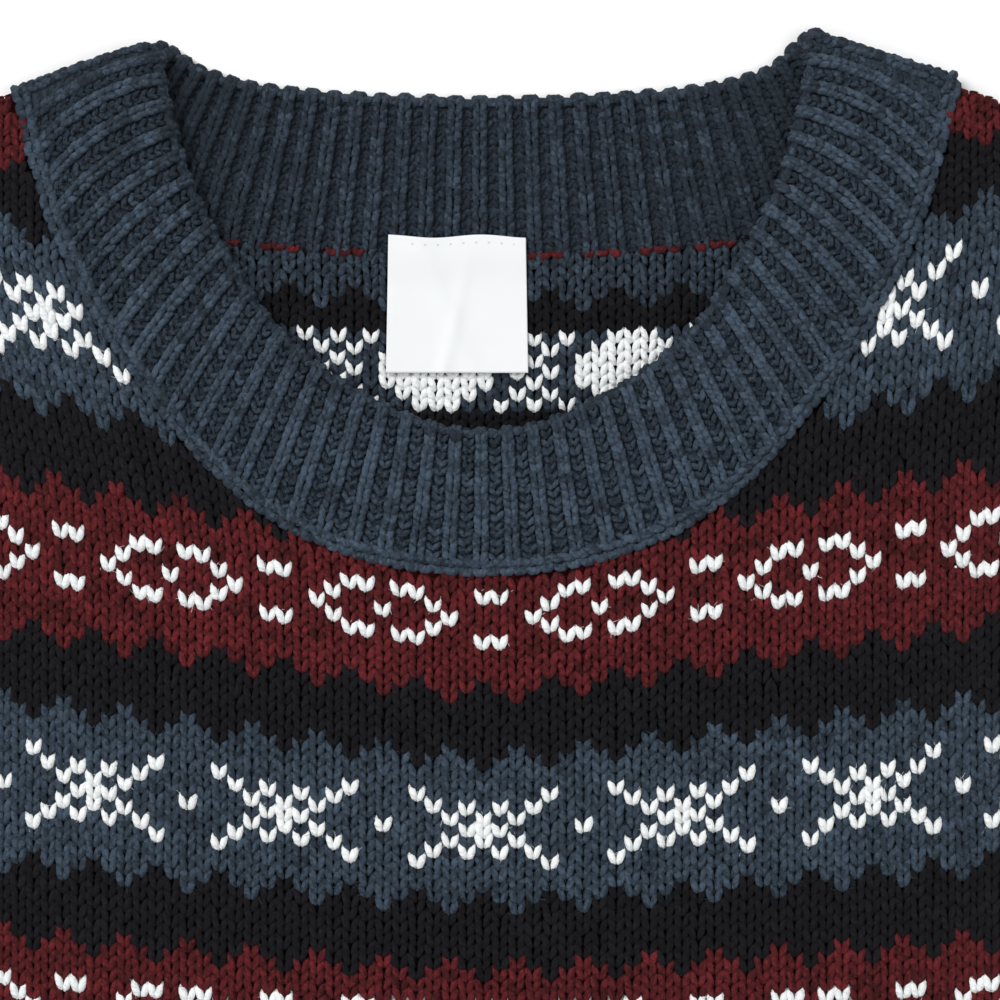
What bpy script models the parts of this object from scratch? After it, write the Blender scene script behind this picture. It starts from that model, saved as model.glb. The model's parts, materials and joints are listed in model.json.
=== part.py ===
"""A knitted crew-neck jumper, adult small, lying flat and face up.

It is built from the pieces that a knitter links together: front, back, two sleeves, a ribbed
neckband, ribbed hems and cuffs, and a label inside the back neck. Metres, +Z up. The jumper lies
on z = 0 with its hem towards -Y, and the origin is the middle of its underside.
Sizes below are in millimetres from the high point of the shoulder, on the middle line.
"""
import math
from collections import namedtuple

import bmesh
import bpy
import numpy as np
from mathutils import Vector
from mathutils.geometry import delaunay_2d_cdt

MM = 0.001
SHOULDER_ABOVE_ORIGIN = 323.35  # high point of the shoulder, in +Y from the origin
SEAM_GAP = 0.35

# Layers, from the floor up
BACK_WALL = 2.5
FRONT_UNDERSIDE = 2.95
FRONT_WALL = 2.5
EDGE_DROP = 1.2  # how far the front's top face rounds down at its outer edge

# Neckband: ribs are counted from the middle of the front round to the middle of the back
BAND_WALL = 2.2
RIB_HEIGHT = 1.0
RIB_COLUMNS = (0.0, 0.3, 0.7)  # groove, then the two edges of the crest, in parts of a rib
RIBS_ROUND_NECK = 80
BAND_ROWS = (0.0, 0.33, 0.67, 1.0)  # parts of the way from the seam to the free edge
FOLD_STARTS = 22.5  # the rib where the front half starts to turn under, at the shoulder
FOLD_ENDS = 23.5
FOLD_OUTWARD = (0.366, 0.93)  # across the fold line, away from the neck

BandRow = namedtuple("BandRow", "rib seam_x seam_y seam_z free_x free_y free_z")
BAND_FRONT = (
    BandRow(0, 0.0, -104.8, 4.2, 0.0, -73.8, 6.2),
    BandRow(3, 20.6, -102.7, 4.2, 11.3, -72.3, 6.2),
    BandRow(6, 40.3, -96.1, 4.2, 23.2, -67.5, 6.2),
    BandRow(9, 57.2, -84.3, 4.3, 35.2, -60.2, 6.3),
    BandRow(12, 70.9, -68.6, 4.3, 46.5, -49.8, 6.4),
    BandRow(15, 82.7, -51.6, 4.4, 55.6, -35.6, 6.6),
    BandRow(18, 92.3, -33.1, 4.5, 63.6, -20.1, 7.0),
    BandRow(20, 96.8, -20.0, 4.6, 67.2, -7.6, 7.6),
    BandRow(22.5, 101.8, -1.7, 4.7, 70.7, 8.7, 8.1),
)
BAND_BACK = (
    BandRow(23.5, 101.8, -1.7, 1.1, 70.7, 8.7, 1.1),
    BandRow(25, 96.7, -12.3, 1.1, 67.0, 7.8, 1.1),
    BandRow(27, 86.5, -21.5, 1.1, 61.2, 5.2, 1.1),
    BandRow(29, 74.3, -27.4, 1.1, 53.6, 2.8, 1.1),
    BandRow(31, 61.2, -31.1, 1.1, 45.1, 1.2, 1.1),
    BandRow(34, 40.9, -34.0, 1.1, 30.9, -0.1, 1.1),
    BandRow(37, 20.5, -35.5, 1.1, 15.7, -0.8, 1.1),
    BandRow(40, 0.0, -36.0, 1.1, 0.0, -1.1, 1.1),
)

# Right half of the body's outline below the neck, shoulder to hem
Corner = namedtuple("Corner", "x y")
SHOULDER_NECK_END = Corner(103.2, -0.9)
SHOULDER_TIP = Corner(216.0, -36.0)
ARMHOLE = (
    SHOULDER_TIP,
    Corner(212.5, -70.0),
    Corner(211.5, -110.0),
    Corner(214.5, -150.0),
    Corner(223.0, -190.0),
    Corner(235.0, -218.0),
    Corner(250.0, -240.0),
)
SIDE = (
    Corner(250.0, -240.0),
    Corner(248.6, -262.0),
    Corner(248.2, -330.0),
    Corner(247.5, -430.0),
    Corner(246.5, -520.0),
    Corner(243.0, -566.0),
    Corner(236.0, -588.0),
    Corner(227.0, -599.7),
)
OUTLINE_STEP = 15.0
PANEL_GRID = 21.0

# Hem ribs
HEM_HALF_WIDTH = 227.0
HEM_TOP = -600.0
HEM_BOTTOM = -660.0
HEM_RIBS = 65
HEM_WALL = 1.9
PLAIN_COLUMNS = 20

# Sleeve: its middle line, how far that points below level, and half the folded width across it
SleeveRow = namedtuple("SleeveRow", "along middle_x middle_y lean half_width")
SLEEVE = (
    SleeveRow(0.00, 233.0, -138.0, -9.5, 103.4),
    SleeveRow(0.04, 252.5, -146.3, -3.0, 100.5),
    SleeveRow(0.08, 271.0, -155.5, 6.0, 97.0),
    SleeveRow(0.18, 315.5, -182.3, 24.0, 91.0),
    SleeveRow(0.30, 364.6, -220.8, 38.0, 85.0),
    SleeveRow(0.45, 419.2, -276.3, 48.0, 77.0),
    SleeveRow(0.60, 467.3, -337.7, 55.0, 70.0),
    SleeveRow(0.75, 509.9, -403.0, 58.8, 63.0),
    SleeveRow(0.90, 548.8, -470.6, 61.0, 56.0),
    SleeveRow(1.00, 573.6, -516.3, 62.0, 48.0),
)
SLEEVE_SECTIONS = 28
SLEEVE_WALL = 2.5
SLEEVE_THICK = 7.6
ARMHOLE_FADES = 0.3  # part of the sleeve over which the armhole's curve straightens

CUFF_HALF_WIDTH = 44.0
CUFF_NARROWS = 0.95
CUFF_LENGTH = 60.0
CUFF_RIBS = 13
CUFF_THICK = 5.6
CUFF_WALL = 2.0
CUFF_PLAIN_COLUMNS = 14

# Soft folds and swells of the upper layer: middle, direction, length, half width and height
Fold = namedtuple("Fold", "x y degrees length half_width height")
FOLDS = (
    Fold(0.0, -385.0, 90.0, 470.0, 212.0, 3.5),  # air under the front
    Fold(190.0, -286.0, -150.0, 200.0, 28.0, 7.0),
    Fold(170.0, -334.0, -166.0, 150.0, 24.0, 4.5),
    Fold(-186.0, -296.0, -32.0, 220.0, 30.0, 7.5),
    Fold(-128.0, -352.0, -20.0, 150.0, 24.0, 4.0),
    Fold(84.0, -462.0, 13.0, 240.0, 32.0, 5.5),
    Fold(-104.0, -508.0, -9.0, 270.0, 30.0, 6.5),
    Fold(146.0, -548.0, 5.0, 180.0, 26.0, 6.0),
    Fold(-176.0, -560.0, 3.0, 110.0, 22.0, 4.0),
    Fold(-24.0, -404.0, 7.0, 180.0, 34.0, 3.5),
    Fold(284.0, -190.0, -96.0, 150.0, 26.0, 6.0),
    Fold(352.0, -216.0, -118.0, 140.0, 26.0, 8.0),
    Fold(410.0, -302.0, -142.0, 130.0, 24.0, 8.5),
    Fold(456.0, -386.0, -156.0, 110.0, 22.0, 6.5),
    Fold(532.0, -462.0, -148.0, 84.0, 20.0, 5.0),
    Fold(-276.0, -182.0, -84.0, 150.0, 28.0, 6.5),
    Fold(-336.0, -206.0, -58.0, 150.0, 26.0, 7.0),
    Fold(-392.0, -292.0, -36.0, 140.0, 24.0, 9.0),
    Fold(-460.0, -394.0, -22.0, 120.0, 22.0, 6.0),
    Fold(-520.0, -478.0, -36.0, 84.0, 20.0, 5.0),
)

# Label
LABEL_WIDTH_TOP = 30.0
LABEL_WIDTH_BOTTOM = 31.0
LABEL_MIDDLE = -6.1
LABEL_TOP = -31.6
LABEL_BOTTOM = -61.4
LABEL_WALL = 1.0
LABEL_RAISED = 3.55  # over the neckband's seam
LABEL_LOW = 2.85  # over the back panel
LABEL_SETTLES = 9.0  # distance over which it drops from one to the other
LABEL_COLUMNS = 6
LABEL_ROWS = 9

SLATE = (0.045, 0.062, 0.082)
BURGUNDY = (0.115, 0.018, 0.022)
BLACK = (0.012, 0.012, 0.015)
WHITE = (0.80, 0.82, 0.80)


def clear_scene():
    """Start from an empty scene."""
    for old in list(bpy.data.objects):
        bpy.data.objects.remove(old, do_unlink=True)


def yarn(name, colour, roughness=0.95):
    """A matt material for one piece."""
    material = bpy.data.materials.new(name)
    material.use_nodes = True
    shader = material.node_tree.nodes["Principled BSDF"]
    shader.inputs["Base Color"].default_value = (*colour, 1.0)
    shader.inputs["Roughness"].default_value = roughness
    shader.inputs["Metallic"].default_value = 0.0
    return material


def smoothstep(value):
    """0 to 1 with level ends."""
    t = min(max(value, 0.0), 1.0)
    return t * t * (3.0 - 2.0 * t)


def smooth_curve(rows, key, columns, at):
    """The named columns of a table at one place along its key column, on a smooth curve."""
    keys = [getattr(row, key) for row in rows]
    points = [np.array([getattr(row, c) for c in columns], float) for row in rows]
    last = len(rows) - 1
    i = min(max(int(np.searchsorted(keys, at, side="right")) - 1, 0), last - 1)

    def slope(k):
        before, after = max(k - 1, 0), min(k + 1, last)
        return (points[after] - points[before]) / (keys[after] - keys[before])

    span = keys[i + 1] - keys[i]
    t = (at - keys[i]) / span
    return (
        points[i] * (2 * t**3 - 3 * t**2 + 1)
        + slope(i) * span * (t**3 - 2 * t**2 + t)
        + points[i + 1] * (3 * t**2 - 2 * t**3)
        + slope(i + 1) * span * (t**3 - t**2)
    )


def fold_height(x, y):
    """How far the soft folds lift the upper layer at a place."""
    lift = 0.0
    for fold in FOLDS:
        angle = math.radians(fold.degrees)
        dx, dy = x - fold.x, y - fold.y
        along = (dx * math.cos(angle) + dy * math.sin(angle)) / (fold.length / 2)
        across = (dy * math.cos(angle) - dx * math.sin(angle)) / fold.half_width
        if abs(along) < 1 and abs(across) < 1:
            lift += fold.height * (1 - along**2) ** 2 * (1 - across**2) ** 2
    return lift


def make_object(name, points, faces, material, sharp_degrees=40.0):
    """One named object from points in millimetres, put in its place from the origin."""
    mesh = bpy.data.meshes.new(name)
    shift = Vector((0.0, SHOULDER_ABOVE_ORIGIN, 0.0))
    mesh.from_pydata([(Vector(p) + shift) * MM for p in points], [], faces)
    mesh.validate()
    piece = bpy.data.objects.new(name, mesh)
    bpy.context.collection.objects.link(piece)
    mesh.materials.append(material)
    shaping = bmesh.new()
    shaping.from_mesh(mesh)
    bmesh.ops.recalc_face_normals(shaping, faces=shaping.faces)
    shaping.to_mesh(mesh)
    shaping.free()
    mesh.shade_smooth()
    mesh.set_sharp_from_angle(angle=math.radians(sharp_degrees))
    return piece


def close_wall(outer, inner, closed_round):
    """Points and faces of a wall between two matching grids, given as lists of rows of points.

    Rows run round the wall. With closed_round each row's end joins its start.
    """
    rows, columns = len(outer), len(outer[0])
    points = [p for row in outer for p in row] + [p for row in inner for p in row]
    half = rows * columns
    faces = []

    def quad(a, b, c, d):
        faces.append((a, b, c, d))

    span = columns if closed_round else columns - 1
    for r in range(rows - 1):
        for c in range(span):
            d = (c + 1) % columns
            a, b = r * columns + c, r * columns + d
            quad(a, b, b + columns, a + columns)
            quad(half + b, half + a, half + a + columns, half + b + columns)
    for c in range(span):
        d = (c + 1) % columns
        quad(d, c, half + c, half + d)
        top = (rows - 1) * columns
        quad(top + c, top + d, half + top + d, half + top + c)
    if not closed_round:
        for r in range(rows - 1):
            a, b = r * columns, (r + 1) * columns
            quad(a, b, half + b, half + a)
            a, b = a + columns - 1, b + columns - 1
            quad(b, a, half + a, half + b)
    return points, faces


# Neckband


def mirrored(rows, about):
    """A half table of the band with its other half, which has its x turned round."""
    other = [
        row._replace(rib=2 * about - row.rib, seam_x=-row.seam_x, free_x=-row.free_x)
        for row in rows
        if row.rib != about
    ]
    return sorted((*rows, *other), key=lambda row: row.rib)


FRONT_ROWS = mirrored(BAND_FRONT, 0)
BACK_ROWS = mirrored(BAND_BACK, RIBS_ROUND_NECK / 2)


def band_edge(rib, edge):
    """A point on the middle of the band's wall at its seam or free edge."""
    columns = [f"{edge}_{axis}" for axis in "xyz"]
    rib = (rib + FOLD_ENDS) % RIBS_ROUND_NECK - FOLD_ENDS
    if rib <= FOLD_STARTS and rib >= -FOLD_STARTS:
        return smooth_curve(FRONT_ROWS, "rib", columns, rib)
    if rib >= FOLD_ENDS:
        return smooth_curve(BACK_ROWS, "rib", columns, rib)
    side = 1.0 if rib > 0 else -1.0
    over = np.array([getattr(BAND_FRONT[-1], c) for c in columns])
    under = np.array([getattr(BAND_BACK[0], c) for c in columns])
    radius = (over[2] - under[2]) / 2
    turn = math.pi * (abs(rib) - FOLD_STARTS) / (FOLD_ENDS - FOLD_STARTS)
    outward = radius * math.sin(turn)
    return np.array(
        (
            side * (over[0] + outward * FOLD_OUTWARD[0]),
            over[1] + outward * FOLD_OUTWARD[1],
            under[2] + radius * (1 + math.cos(turn)),
        )
    )


def band_frame(rib, across):
    """Middle point of the band's wall and the direction of its outer side."""
    step = 0.02
    seam, free = band_edge(rib, "seam"), band_edge(rib, "free")
    middle = seam + (free - seam) * across
    after = band_edge(rib + step, "seam")
    after = after + (band_edge(rib + step, "free") - after) * across
    before = band_edge(rib - step, "seam")
    before = before + (band_edge(rib - step, "free") - before) * across
    outer = np.cross(after - before, free - seam)
    return middle, outer / np.linalg.norm(outer)


def band_ribs(rib):
    """Height of the ribs on the outer and on the inner side, at the band's upper faces."""
    crest = 0.0 if rib % 1.0 == 0.0 else RIB_HEIGHT
    from_front = abs((rib + RIBS_ROUND_NECK / 2) % RIBS_ROUND_NECK - RIBS_ROUND_NECK / 2)
    outer = smoothstep((FOLD_ENDS - 0.4 - from_front) / 0.8)
    inner = smoothstep((from_front - FOLD_ENDS) / 1.2)
    return crest * outer, crest * inner


def neck_rib():
    """The ribbed neckband: one closed ring folded flat at the shoulders."""
    outer_rows, inner_rows = [], []
    for across in BAND_ROWS:
        outer_row, inner_row = [], []
        for number in range(RIBS_ROUND_NECK):
            for phase in RIB_COLUMNS:
                rib = number + phase - RIBS_ROUND_NECK / 2
                middle, outward = band_frame(rib, across)
                outer, inner = band_ribs(rib)
                outer_row.append(middle + outward * (BAND_WALL / 2 + outer))
                inner_row.append(middle - outward * (BAND_WALL / 2 + inner))
        outer_rows.append(outer_row)
        inner_rows.append(inner_row)
    points, faces = close_wall(outer_rows, inner_rows, closed_round=True)
    return make_object("neck_rib", points, faces, yarn("slate_rib", SLATE))


# Body panels


def neckline(first_rib, last_rib, steps):
    """The panel's neck edge, just outside the band's seam edge."""
    edge = []
    for i in range(steps + 1):
        rib = first_rib + (last_rib - first_rib) * i / steps
        seam, free = band_edge(rib, "seam"), band_edge(rib, "free")
        away = (seam - free)[:2]
        edge.append(seam[:2] + away / np.linalg.norm(away) * SEAM_GAP)
    return edge


def dense(corners, step):
    """Points along straight runs between corners, without the last corner."""
    points = []
    for start, end in zip(corners, corners[1:]):
        a, b = np.array(start), np.array(end)
        count = max(1, round(float(np.linalg.norm(b - a)) / step))
        points += [a + (b - a) * i / count for i in range(count)]
    return points


def body_outline(neck_points):
    """A body panel's outline, anticlockwise, from a neck edge that runs left to right."""
    right = dense((SHOULDER_NECK_END, *ARMHOLE, *SIDE[1:]), OUTLINE_STEP)
    hem = dense((SIDE[-1], Corner(-SIDE[-1].x, SIDE[-1].y)), OUTLINE_STEP)
    left = [np.array((-p[0], p[1])) for p in reversed(right)]
    down_right = neck_points + right
    return list(reversed(down_right + hem + left))


def inside(outline, x, y):
    """Whether a place is within an outline."""
    within = False
    for (ax, ay), (bx, by) in zip(outline, outline[1:] + outline[:1]):
        if (ay > y) != (by > y) and x < (bx - ax) * (y - ay) / (by - ay) + ax:
            within = not within
    return within


def distance_to(outline, x, y):
    """Distance from a place to the nearest run of an outline."""
    place = np.array((x, y))
    nearest = math.inf
    for a, b in zip(outline, outline[1:] + outline[:1]):
        run = b - a
        t = np.clip(np.dot(place - a, run) / np.dot(run, run), 0.0, 1.0)
        nearest = min(nearest, float(np.linalg.norm(place - a - run * t)))
    return nearest


def panel(name, neck_points, underside, wall, drop, folds, material):
    """A flat panel cut to the body's outline, as a wall of one thickness with soft folds."""
    outline = body_outline(neck_points)
    grid = []
    rows = int(-HEM_TOP / PANEL_GRID) + 1
    columns = int(2 * SIDE[0].x / PANEL_GRID) + 1
    for r in range(rows + 1):
        for c in range(columns + 1):
            x = (c - columns / 2 + 0.5 * (r % 2)) * PANEL_GRID
            y = -PANEL_GRID * r
            if inside(outline, x, y) and distance_to(outline, x, y) > PANEL_GRID * 0.45:
                grid.append(Vector((x, y)))
    placed = [Vector(p) for p in outline] + grid
    flat, _, triangles, *_ = delaunay_2d_cdt(placed, [], [list(range(len(outline)))], 1, 1e-4)

    points, lower = [], []
    neck_count = len(neck_points)
    for i, place in enumerate(flat):
        lift = fold_height(place.x, place.y) if folds else 0.0
        on_rim = i < len(outline) - neck_count
        points.append((place.x, place.y, underside + wall + lift - (drop if on_rim else 0.0)))
        lower.append((place.x, place.y, underside + lift))
    count = len(flat)
    faces = [tuple(t) for t in triangles] + [tuple(count + i for i in reversed(t)) for t in triangles]
    sides = {(a, b) for t in triangles for a, b in zip(t, t[1:] + t[:1])}
    for a, b in sorted(sides):
        if (b, a) not in sides:
            faces.append((b, a, count + a, count + b))
    return make_object(name, points + lower, faces, material)


def front_panel():
    """The front, with its scooped neckline, lying on the back."""
    neck = neckline(-FOLD_STARTS, FOLD_STARTS, 40)
    return panel("front_panel", neck, FRONT_UNDERSIDE, FRONT_WALL, EDGE_DROP, True,
                 yarn("burgundy_knit", BURGUNDY))


def back_panel():
    """The back, flat on the floor with its inside up."""
    half = RIBS_ROUND_NECK / 2
    neck = neckline(2 * half - FOLD_ENDS, FOLD_ENDS, 24)
    return panel("back_panel", neck, 0.0, BACK_WALL, 0.0, False, yarn("black_knit", BLACK))


# Tubes folded flat: sleeves and cuffs


def flat_ring(inset, columns_over, columns_under):
    """Places round a flattened tube: part of the way across, height, and whether on top."""
    ring = []
    for i in range(columns_over):
        ring.append((i / columns_over, True))
    for i in range(columns_under):
        ring.append((1.0 - i / columns_under, False))
    shaped = []
    for part, over in ring:
        rounding = min(1.0, 2.0 * min(part, 1.0 - part) / inset)
        rise = math.sqrt(1.0 - (1.0 - rounding) ** 2)
        shaped.append((part, rise if over else -rise))
    return shaped


def tube_wall(section, ring, thick, wall, rows):
    """Outer and inner grids of a flattened tube along section(row) = (start, end, bend)."""
    outer_rows, inner_rows = [], []
    for row in range(rows):
        start, end, bend = section(row)
        run = end - start
        inward = run / np.linalg.norm(run)
        outer_row, inner_row = [], []
        for part, rise in ring:
            base = start + run * part + bend(part)
            lift = fold_height(base[0], base[1]) * max(rise, 0.0)
            height = thick / 2 * (1 + rise) + lift
            outer_row.append((base[0], base[1], height))
            shift = wall * (1.0 - 2.0 * part) * (1.0 - abs(rise))
            inner = base + inward * shift
            inner_row.append((inner[0], inner[1], thick / 2 + rise * (thick / 2 - wall) + lift))
        outer_rows.append(outer_row)
        inner_rows.append(inner_row)
    return outer_rows, inner_rows


def armhole_bend():
    """How far the armhole's curve lies off the straight line between its ends."""
    corners = [np.array(c) for c in ARMHOLE]
    chord = corners[-1] - corners[0]
    parts = [float(np.dot(c - corners[0], chord) / np.dot(chord, chord)) for c in corners]
    offsets = [c - corners[0] - chord * p for c, p in zip(corners, parts)]
    return parts, offsets


def cross_line(middle_x, middle_y, lean, half_width, side, moved):
    """Shoulder-side and underarm-side ends of a line across a sleeve, moved along the sleeve."""
    angle = math.radians(lean)
    middle = np.array((middle_x + math.cos(angle) * moved, middle_y - math.sin(angle) * moved))
    half = np.array((math.sin(angle), math.cos(angle))) * half_width
    turned = np.array((side, 1.0))
    return (middle + half) * turned, (middle - half) * turned


def sleeve(name, side):
    """A tapered sleeve folded flat, open at the armhole and at the cuff."""
    parts, offsets = armhole_bend()

    def section(row):
        along = row / (SLEEVE_SECTIONS - 1)
        columns = ("middle_x", "middle_y", "lean", "half_width")
        across = smooth_curve(SLEEVE, "along", columns, along)
        curved = 1.0 - smoothstep(along / ARMHOLE_FADES)

        def bend(part):
            off = [np.interp(part, parts, [o[k] for o in offsets]) for k in (0, 1)]
            return np.array((side * off[0], off[1])) * curved

        return (*cross_line(*across, side, SEAM_GAP), bend)

    ring = flat_ring(0.16, 16, 10)
    walls = tube_wall(section, ring, SLEEVE_THICK, SLEEVE_WALL, SLEEVE_SECTIONS)
    points, faces = close_wall(*walls, closed_round=True)
    return make_object(name, points, faces, yarn(f"{name}_knit", BURGUNDY))


def cuff(name, side):
    """A ribbed cuff folded flat, with its ribs on the upper face."""
    columns_over = CUFF_RIBS * len(RIB_COLUMNS)
    wrist = SLEEVE[-1]

    def section(row):
        half_width = CUFF_HALF_WIDTH * (CUFF_NARROWS if row else 1.0)
        moved = 2 * SEAM_GAP + CUFF_LENGTH * row
        ends = cross_line(wrist.middle_x, wrist.middle_y, wrist.lean, half_width, side, moved)
        return (*ends, lambda part: np.zeros(2))

    ring = flat_ring(0.12, columns_over, CUFF_PLAIN_COLUMNS)
    outer, inner = tube_wall(section, ring, CUFF_THICK, CUFF_WALL, 2)
    for row in outer:
        for column in range(columns_over):
            if column % len(RIB_COLUMNS):
                x, y, z = row[column]
                row[column] = (x, y, z + RIB_HEIGHT * max(ring[column][1], 0.0) ** 3)
    points, faces = close_wall(outer, inner, closed_round=True)
    return make_object(name, points, faces, yarn(f"{name}_rib", SLATE))


# Hem ribs and label


def strip(name, lower, upper, column_parts, ribs, material):
    """A straight band across the hem, with ribs on its upper face where ribs is set."""
    top_rows, bottom_rows = [], []
    for y in (HEM_TOP - SEAM_GAP, HEM_BOTTOM):
        top_row, bottom_row = [], []
        for part in column_parts:
            x = (2 * part - 1) * HEM_HALF_WIDTH
            crest = RIB_HEIGHT if ribs and round(part * ribs, 6) % 1.0 else 0.0
            top_row.append((x, y, upper + crest))
            bottom_row.append((x, y, lower))
        top_rows.append(top_row)
        bottom_rows.append(bottom_row)
    points, faces = close_wall(top_rows, bottom_rows, closed_round=False)
    return make_object(name, points, faces, material)


def hem_ribs():
    """The ribbed hem of the front over that of the back."""
    phases = [(n + phase) / HEM_RIBS for n in range(HEM_RIBS) for phase in RIB_COLUMNS] + [1.0]
    plain = [i / PLAIN_COLUMNS for i in range(PLAIN_COLUMNS + 1)]
    slate = yarn("slate_hem", SLATE)
    front = strip("hem_rib_front", FRONT_UNDERSIDE, FRONT_UNDERSIDE + HEM_WALL, phases, HEM_RIBS,
                  slate)
    back = strip("hem_rib_back", 0.0, BACK_WALL, plain, 0, yarn("slate_hem_back", SLATE))
    return front, back


def label():
    """The woven label, sewn in at the back neck seam and hanging over the back's inside."""
    top_rows, bottom_rows = [], []
    for r in range(LABEL_ROWS + 1):
        down = r / LABEL_ROWS
        y = LABEL_TOP + (LABEL_BOTTOM - LABEL_TOP) * down
        settle = smoothstep((LABEL_TOP - y - LABEL_SETTLES / 3) / LABEL_SETTLES)
        base = LABEL_RAISED + (LABEL_LOW - LABEL_RAISED) * settle
        width = LABEL_WIDTH_TOP + (LABEL_WIDTH_BOTTOM - LABEL_WIDTH_TOP) * down
        top_row, bottom_row = [], []
        for c in range(LABEL_COLUMNS + 1):
            part = c / LABEL_COLUMNS - 0.5
            curl = 0.5 * down**3 + 0.4 * (2 * part) ** 2 * down
            x = LABEL_MIDDLE + part * width
            bottom_row.append((x, y, base + curl))
            top_row.append((x, y, base + curl + LABEL_WALL))
        top_rows.append(top_row)
        bottom_rows.append(bottom_row)
    points, faces = close_wall(top_rows, bottom_rows, closed_round=False)
    return make_object("label", points, faces, yarn("white_satin", WHITE, 0.45))


def build():
    """Every piece of the jumper."""
    clear_scene()
    back_panel()
    front_panel()
    for side, word in ((1, "left"), (-1, "right")):  # the wearer's, who lies face up
        sleeve(f"sleeve_{word}", side)
        cuff(f"cuff_{word}", side)
    neck_rib()
    hem_ribs()
    label()


build()
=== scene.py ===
"""Looks of the patterned crew-neck jumper, which lies flat and face up.

Lengths are millimetres from the high point of the shoulder on the middle line, as in the CAD, and
become metres from the CAD origin when a mesh is made. A knitted piece is a thin sheet whose faces
are half stitches, so its yarn colours are crisp. Round the neck, where the camera is close, each
leg of each stitch is a strand of yarn of its own.
"""
import json
import logging
import math
from collections import namedtuple
from collections.abc import Callable
from dataclasses import dataclass, field
from enum import Enum, IntEnum
from typing import ClassVar

import bmesh
import bpy
import numpy as np
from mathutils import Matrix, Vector

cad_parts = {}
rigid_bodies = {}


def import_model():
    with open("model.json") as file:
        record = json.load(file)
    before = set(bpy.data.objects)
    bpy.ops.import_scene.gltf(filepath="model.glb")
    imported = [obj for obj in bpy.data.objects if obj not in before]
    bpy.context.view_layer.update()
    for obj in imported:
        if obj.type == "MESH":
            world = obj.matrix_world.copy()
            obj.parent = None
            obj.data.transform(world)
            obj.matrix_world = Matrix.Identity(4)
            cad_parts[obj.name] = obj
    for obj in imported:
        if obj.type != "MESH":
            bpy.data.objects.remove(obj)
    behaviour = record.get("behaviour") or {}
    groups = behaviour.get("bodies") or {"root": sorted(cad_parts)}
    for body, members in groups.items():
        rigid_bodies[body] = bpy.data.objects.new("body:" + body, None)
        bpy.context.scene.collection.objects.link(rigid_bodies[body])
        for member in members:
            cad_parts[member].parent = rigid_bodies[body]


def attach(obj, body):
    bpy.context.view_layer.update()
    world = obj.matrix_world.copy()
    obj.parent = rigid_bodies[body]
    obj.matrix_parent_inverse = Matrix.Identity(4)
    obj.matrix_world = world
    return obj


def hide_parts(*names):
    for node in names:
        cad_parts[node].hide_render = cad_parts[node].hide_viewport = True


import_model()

log = logging.getLogger("jumper")

MM = 0.001
SHOULDER_ABOVE_ORIGIN = 323.35
SEED = 20

# Knit gauge and where the chart starts on the front
WALE = 3.576
COURSE = 2.402
FIRST_COURSE = 110.2
CHEVRON_DROP = 0.7  # how far a V's point hangs below its ends, in courses

# Layers
BACK_WALL = 2.5
FRONT_UNDERSIDE = 2.95
FRONT_WALL = 2.5
SEAM_GAP = 0.35
STRAND_BED = 1.1  # how much lower the sheet lies under strands of yarn
LOWEST = 0.05  # no yarn lies lower, in millimetres above the floor

# What the camera sees of the body, in garment millimetres
VIEW_X = (-106.0, 113.0)
VIEW_BOTTOM = -199.0

Corner = namedtuple("Corner", "x y")
SHOULDER_NECK_END = Corner(103.2, -0.9)
RIGHT_SHOULDER_HIGHER = 1.1  # the front's right shoulder line, over the back's
ARMHOLE = (
    Corner(216.0, -36.0),
    Corner(212.5, -70.0),
    Corner(211.5, -110.0),
    Corner(214.5, -150.0),
    Corner(223.0, -190.0),
    Corner(235.0, -218.0),
    Corner(250.0, -240.0),
)
SIDE = (
    Corner(250.0, -240.0),
    Corner(248.6, -262.0),
    Corner(248.2, -330.0),
    Corner(247.5, -430.0),
    Corner(246.5, -520.0),
    Corner(243.0, -566.0),
    Corner(236.0, -588.0),
    Corner(227.0, -599.7),
)

BandRow = namedtuple("BandRow", "rib seam_x seam_y seam_z free_x free_y free_z")
BAND_FRONT = (
    BandRow(0, 0.0, -104.8, 4.2, 0.0, -73.8, 6.2),
    BandRow(3, 20.6, -102.7, 4.2, 11.3, -72.3, 6.2),
    BandRow(6, 40.3, -96.1, 4.2, 23.2, -67.5, 6.2),
    BandRow(9, 57.2, -84.3, 4.3, 35.2, -60.2, 6.3),
    BandRow(12, 70.9, -68.6, 4.3, 46.5, -49.8, 6.4),
    BandRow(15, 82.7, -51.6, 4.4, 55.6, -35.6, 6.6),
    BandRow(18, 92.3, -33.1, 4.5, 63.6, -20.1, 7.0),
    BandRow(20, 96.8, -20.0, 4.6, 67.2, -7.6, 7.6),
    BandRow(22.5, 101.8, -1.7, 4.7, 70.7, 8.7, 8.1),
)
BAND_BACK = (
    BandRow(23.5, 101.8, -1.7, 1.1, 70.7, 8.7, 1.1),
    BandRow(25, 96.7, -12.3, 1.1, 67.0, 7.8, 1.1),
    BandRow(27, 86.5, -21.5, 1.1, 61.2, 5.2, 1.1),
    BandRow(29, 74.3, -27.4, 1.1, 53.6, 2.8, 1.1),
    BandRow(31, 61.2, -31.1, 1.1, 45.1, 1.2, 1.1),
    BandRow(34, 40.9, -34.0, 1.1, 30.9, -0.1, 1.1),
    BandRow(37, 20.5, -35.5, 1.1, 15.7, -0.8, 1.1),
    BandRow(40, 0.0, -36.0, 1.1, 0.0, -1.1, 1.1),
)
RIBS_ROUND = 80
FOLD_STARTS = 22.5
FOLD_ENDS = 23.5
FOLD_OUTWARD = (0.366, 0.93)
BACK_RISES = (1.9, 4.5)  # how far the back's free edge rises to the left and right folds
BACK_RISE_STARTS = 62.5
BACK_RISE_RUN = 7.5
CAD_RIB_PITCH = 5.65  # along the seam near the folds
BAND_WALL = 2.2
BAND_HEIGHT = 31.0  # nominal, from the seam to the free edge

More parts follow.
